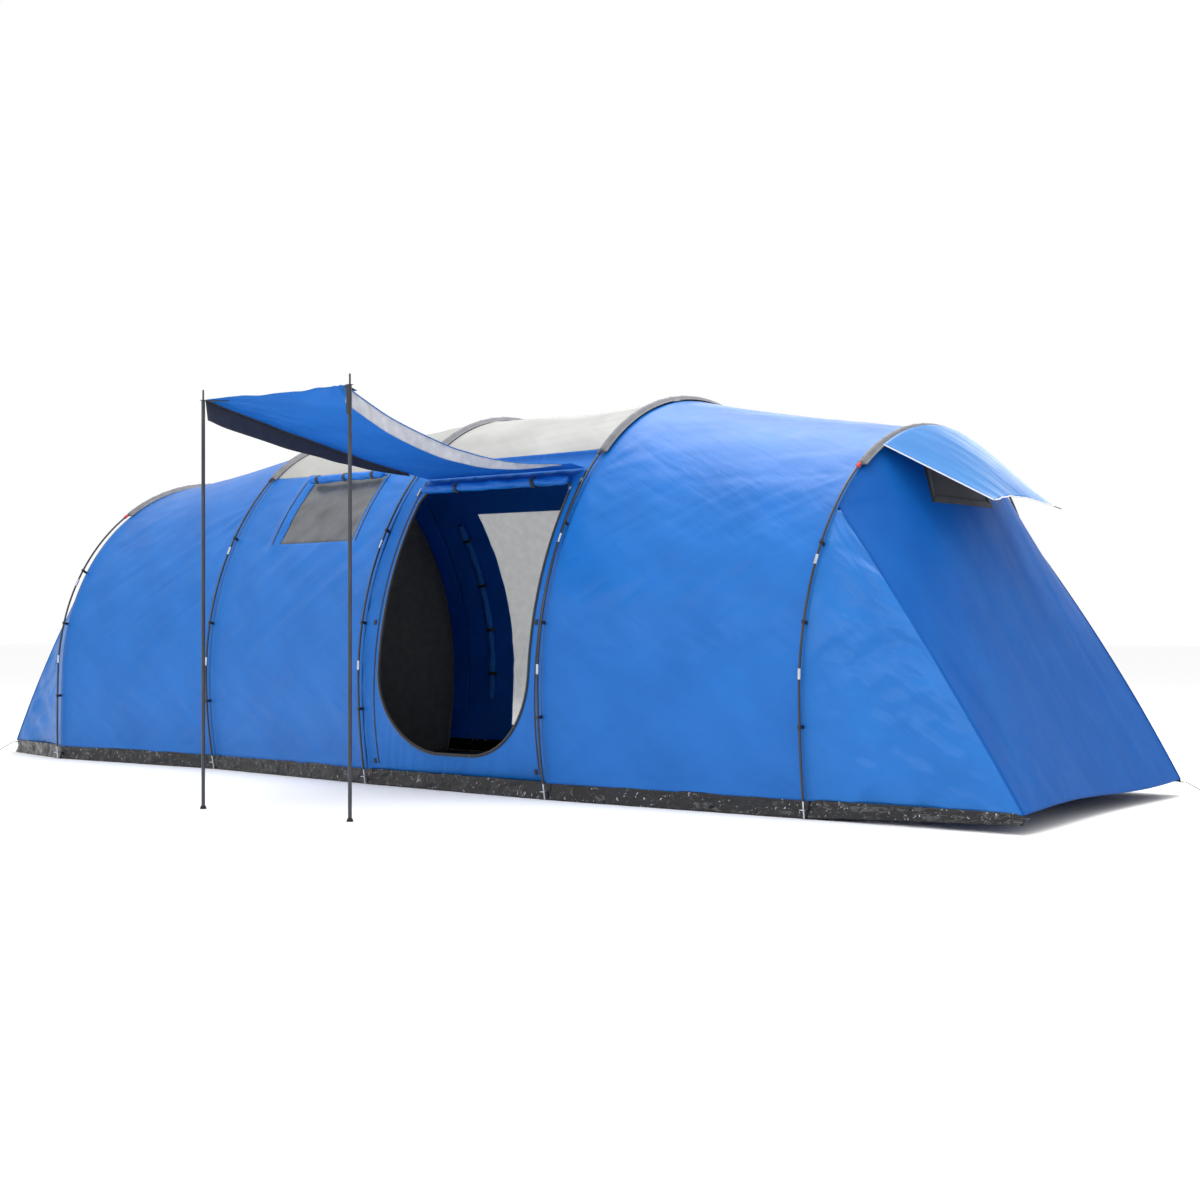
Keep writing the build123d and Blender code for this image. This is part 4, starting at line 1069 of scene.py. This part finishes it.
# ---- inner bedrooms and floor --------------------------------------------------------
for name, bay, seed in (("left", 0, 1000), ("right", 3, 1100)):
    rings = []
    for hoop in (bay, bay + 1):
        rings.append(fly_ring(hoop, 1.15, 50, 36, bedroom_inset + 0.001, 0.003))
    grid = between(rings[0], rings[1], 40)
    setback = 0.045
    if name == "left":
        grid[..., 0] = hoop_x[0] + (grid[..., 0] - hoop_x[0]) * (1 - setback / 1.352)
    else:
        grid[..., 0] = hoop_x[4] - (hoop_x[4] - grid[..., 0]) * (1 - setback / 1.373)
    u, v = grid_uv(grid)
    slack = -0.012 * np.sin(math.pi * u / u.max()) + 0.006 * folds(u, v, 0.9, 0.4, 0.09, seed)
    slack = slack * fade(np.minimum(u, u.max() - u), 0.08) * fade(grid[..., 2], 0.15)
    mesh = sheet_mesh("inner_%s" % name, grid + outward(grid) * (slack[..., None] - 0.002))
    piece = add_object("inner_%s" % name, mesh, inner_black, replaced=["bedroom_" + name])
    front_x = grid[:, -1, 0].mean() if name == "left" else grid[:, 0, 0].mean()
    edge = grid[:, -1] if name == "left" else grid[:, 0]
    half = edge[:len(edge) // 2 + 1]
    far_half = edge[len(edge) // 2:][::-1]
    share = np.linspace(0, 1, 70)[None, :, None]
    front = half[:, None] * (1 - share) + far_half[:, None] * share
    u, v = front[..., 1], front[..., 2]
    inner_share = np.sin(math.pi * share[..., 0])
    sign = 1 if name == "left" else -1
    front[..., 0] = front_x + sign * (0.002 + 0.010 * inner_share * folds(u, v, 1.5, 0.6, 0.10, seed + 9))
    mesh = sheet_mesh("inner_front_" + name, front[:-1])
    replaced = ["bedroom_fronts"] if name == "right" else []
    piece = add_object("inner_front_" + name, mesh, inner_black, replaced=replaced)


def skirt_feet(side):
    """Plan points of the hem along one side, corner to corner."""
    index = 0 if side < 0 else 1
    points = [corners["left"][index]]
    for hoop in range(5):
        points.append((hoop_x[hoop], side * Arch(hoop, 0.0, fly_below, fly_inside).y(hem)))
    return np.array(points + [corners["right"][index]])


floor_end = 0.06                            # past the end hoop, so that none shows under the lifted hem
floor_edges = [resample(skirt_feet(side), 150) for side in (-1, 1)]
for line in floor_edges:
    line[:, 0] = np.minimum(line[:, 0], hoop_x[4] + floor_end)
share = np.linspace(0, 1, 50)[None, :, None]
floor = floor_edges[0][:, None] * (1 - share) + floor_edges[1][:, None] * share
floor_z = 0.0014 + 0.0006 * np.abs(lattice_noise(floor[..., 0] * 9, floor[..., 1] * 9, 1200))
floor = np.concatenate([floor, floor_z[..., None]], axis=2)
mesh = sheet_mesh("floor_sheet", floor, thickness=0.001)
piece = add_object("floor_sheet", mesh, floor_black, replaced=["groundsheet"])

# Skirt: a crinkled coated strip from the hem to the ground
for side, name, seed in ((-1, "near", 1300), (1, "far", 1400)):
    line = resample(skirt_feet(side), 900)
    line[:, 0] = np.clip(line[:, 0], corners["left"][0][0] + 0.006, None)
    rows = np.linspace(0, 1, 14)[:, None]
    run = np.linspace(0, 7.0, 900)[None]
    out = 0.0015 + 0.0125 * rows ** 1.5 + 0.006 * lattice_noise(run * 9, rows * 2, seed) * np.sin(math.pi * rows)
    out = out + 0.004 * lattice_noise(run * 26, rows * 5 + run * 3, seed + 1) * rows
    past_hoop = np.clip((line[:, 0] - hoop_x[4]) / (corners["right"][0][0] - hoop_x[4]), 0, 1)[None]
    rows = rows * (1 - past_hoop ** 0.7 * (0.97 if side > 0 else 0.45))
    z = (hem + 0.005) * (1 - rows) + 0.0010 * rows
    y = np.abs(line[:, 1])[None] - 0.004 + out
    z = z + 0.0012 * (1 - rows) * lattice_noise(run * 14, rows, seed + 2)
    skirt = np.stack([np.broadcast_to(line[:, 0], z.shape), side * y, z], axis=2)
    mesh = sheet_mesh("skirt_" + name, skirt, thickness=0.001)
    replaced = ["mud_skirt"] if side < 0 else []
    piece = add_object("skirt_" + name, mesh, skirt_black, replaced=replaced)

# ---- cords ---------------------------------------------------------------------------
for name, route in cord_routes.items():
    curve = bpy.data.curves.new("cord_" + name, "CURVE")
    curve.dimensions = "3D"
    curve.bevel_depth = cord_radius
    curve.bevel_resolution = 3
    curve.use_fill_caps = True
    spline = curve.splines.new("NURBS")
    spline.points.add(len(route) - 1)
    for point, place in zip(spline.points, route):
        point.co = (*place, 1.0)
    spline.order_u = 3
    spline.use_endpoint_u = True
    curve.materials.append(cord_black)
    piece = bpy.data.objects.new("cord_" + name, curve)
    bpy.context.scene.collection.objects.link(piece)
    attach(piece, "root")
    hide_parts("peg_cord_" + name)

# ---- finishes of the hard pieces -------------------------------------------------------
finishes = {
    fibreglass: ["hoop_pole_%d" % (k + 1) for k in range(5)],
    steel: ["hoop_ferrules", "foot_pins", "foot_rings", "porch_zip_slider_left", "porch_zip_slider_right",
            "door_zip_slider"],
    clip_black: ["hoop_clips", "porch_zips", "window_zips"],
    webbing: ["foot_straps", "toggle_tabs", "roll_ties", "corner_strap", "corner_loops", "canopy_corner_tabs"],
    pole_steel: ["porch_pole_left", "porch_pole_right", "porch_pole_spigots"],
    rubber: ["porch_pole_feet"],
}
for material, names in finishes.items():
    for name in names:
        slots = nodes[name].material_slots
        if len(slots) == 0:
            nodes[name].data.materials.append(material)
        for slot in slots:
            slot.link = "OBJECT"
            slot.material = material

# ---- floor, light and background -------------------------------------------------------
floor_mesh = bpy.data.meshes.new("ground")
reach = 60.0
floor_mesh.from_pydata([(-reach, -reach, 0), (reach, -reach, 0), (reach, reach, 0), (-reach, reach, 0)], [],
                       [(0, 1, 2, 3)])
ground = bpy.data.objects.new("ground", floor_mesh)
bpy.context.scene.collection.objects.link(ground)
material, tree, shader = new_material("ground", 0.9)
shader.inputs["Base Color"].default_value = linear((250, 250, 250))
floor_mesh.materials.append(material)


def area_light(name, place, target, size, power):
    data = bpy.data.lights.new(name, "AREA")
    data.shape = "RECTANGLE"
    data.size, data.size_y = size
    data.energy = power
    lamp = bpy.data.objects.new(name, data)
    lamp.location = place
    lamp.rotation_euler = (Vector(target) - Vector(place)).to_track_quat("-Z", "Y").to_euler()
    bpy.context.scene.collection.objects.link(lamp)


area_light("top", (0.5, 0.8, 7.0), (0, 0.2, 0), (10, 5), 560)
area_light("front", (1.0, -9.5, 5.0), (0.0, 0, 0.8), (8, 3), 170)
area_light("back", (-2.0, 8.0, 4.0), (0, 0, 1.0), (9, 4), 220)
world = bpy.data.worlds.new("world")
world.use_nodes = True
world.node_tree.nodes["Background"].inputs["Color"].default_value = (1, 1, 1, 1)
world.node_tree.nodes["Background"].inputs["Strength"].default_value = 1.0
bpy.context.scene.world = world
bpy.context.scene.view_settings.view_transform = "Standard"

bpy.context.view_layer.update()
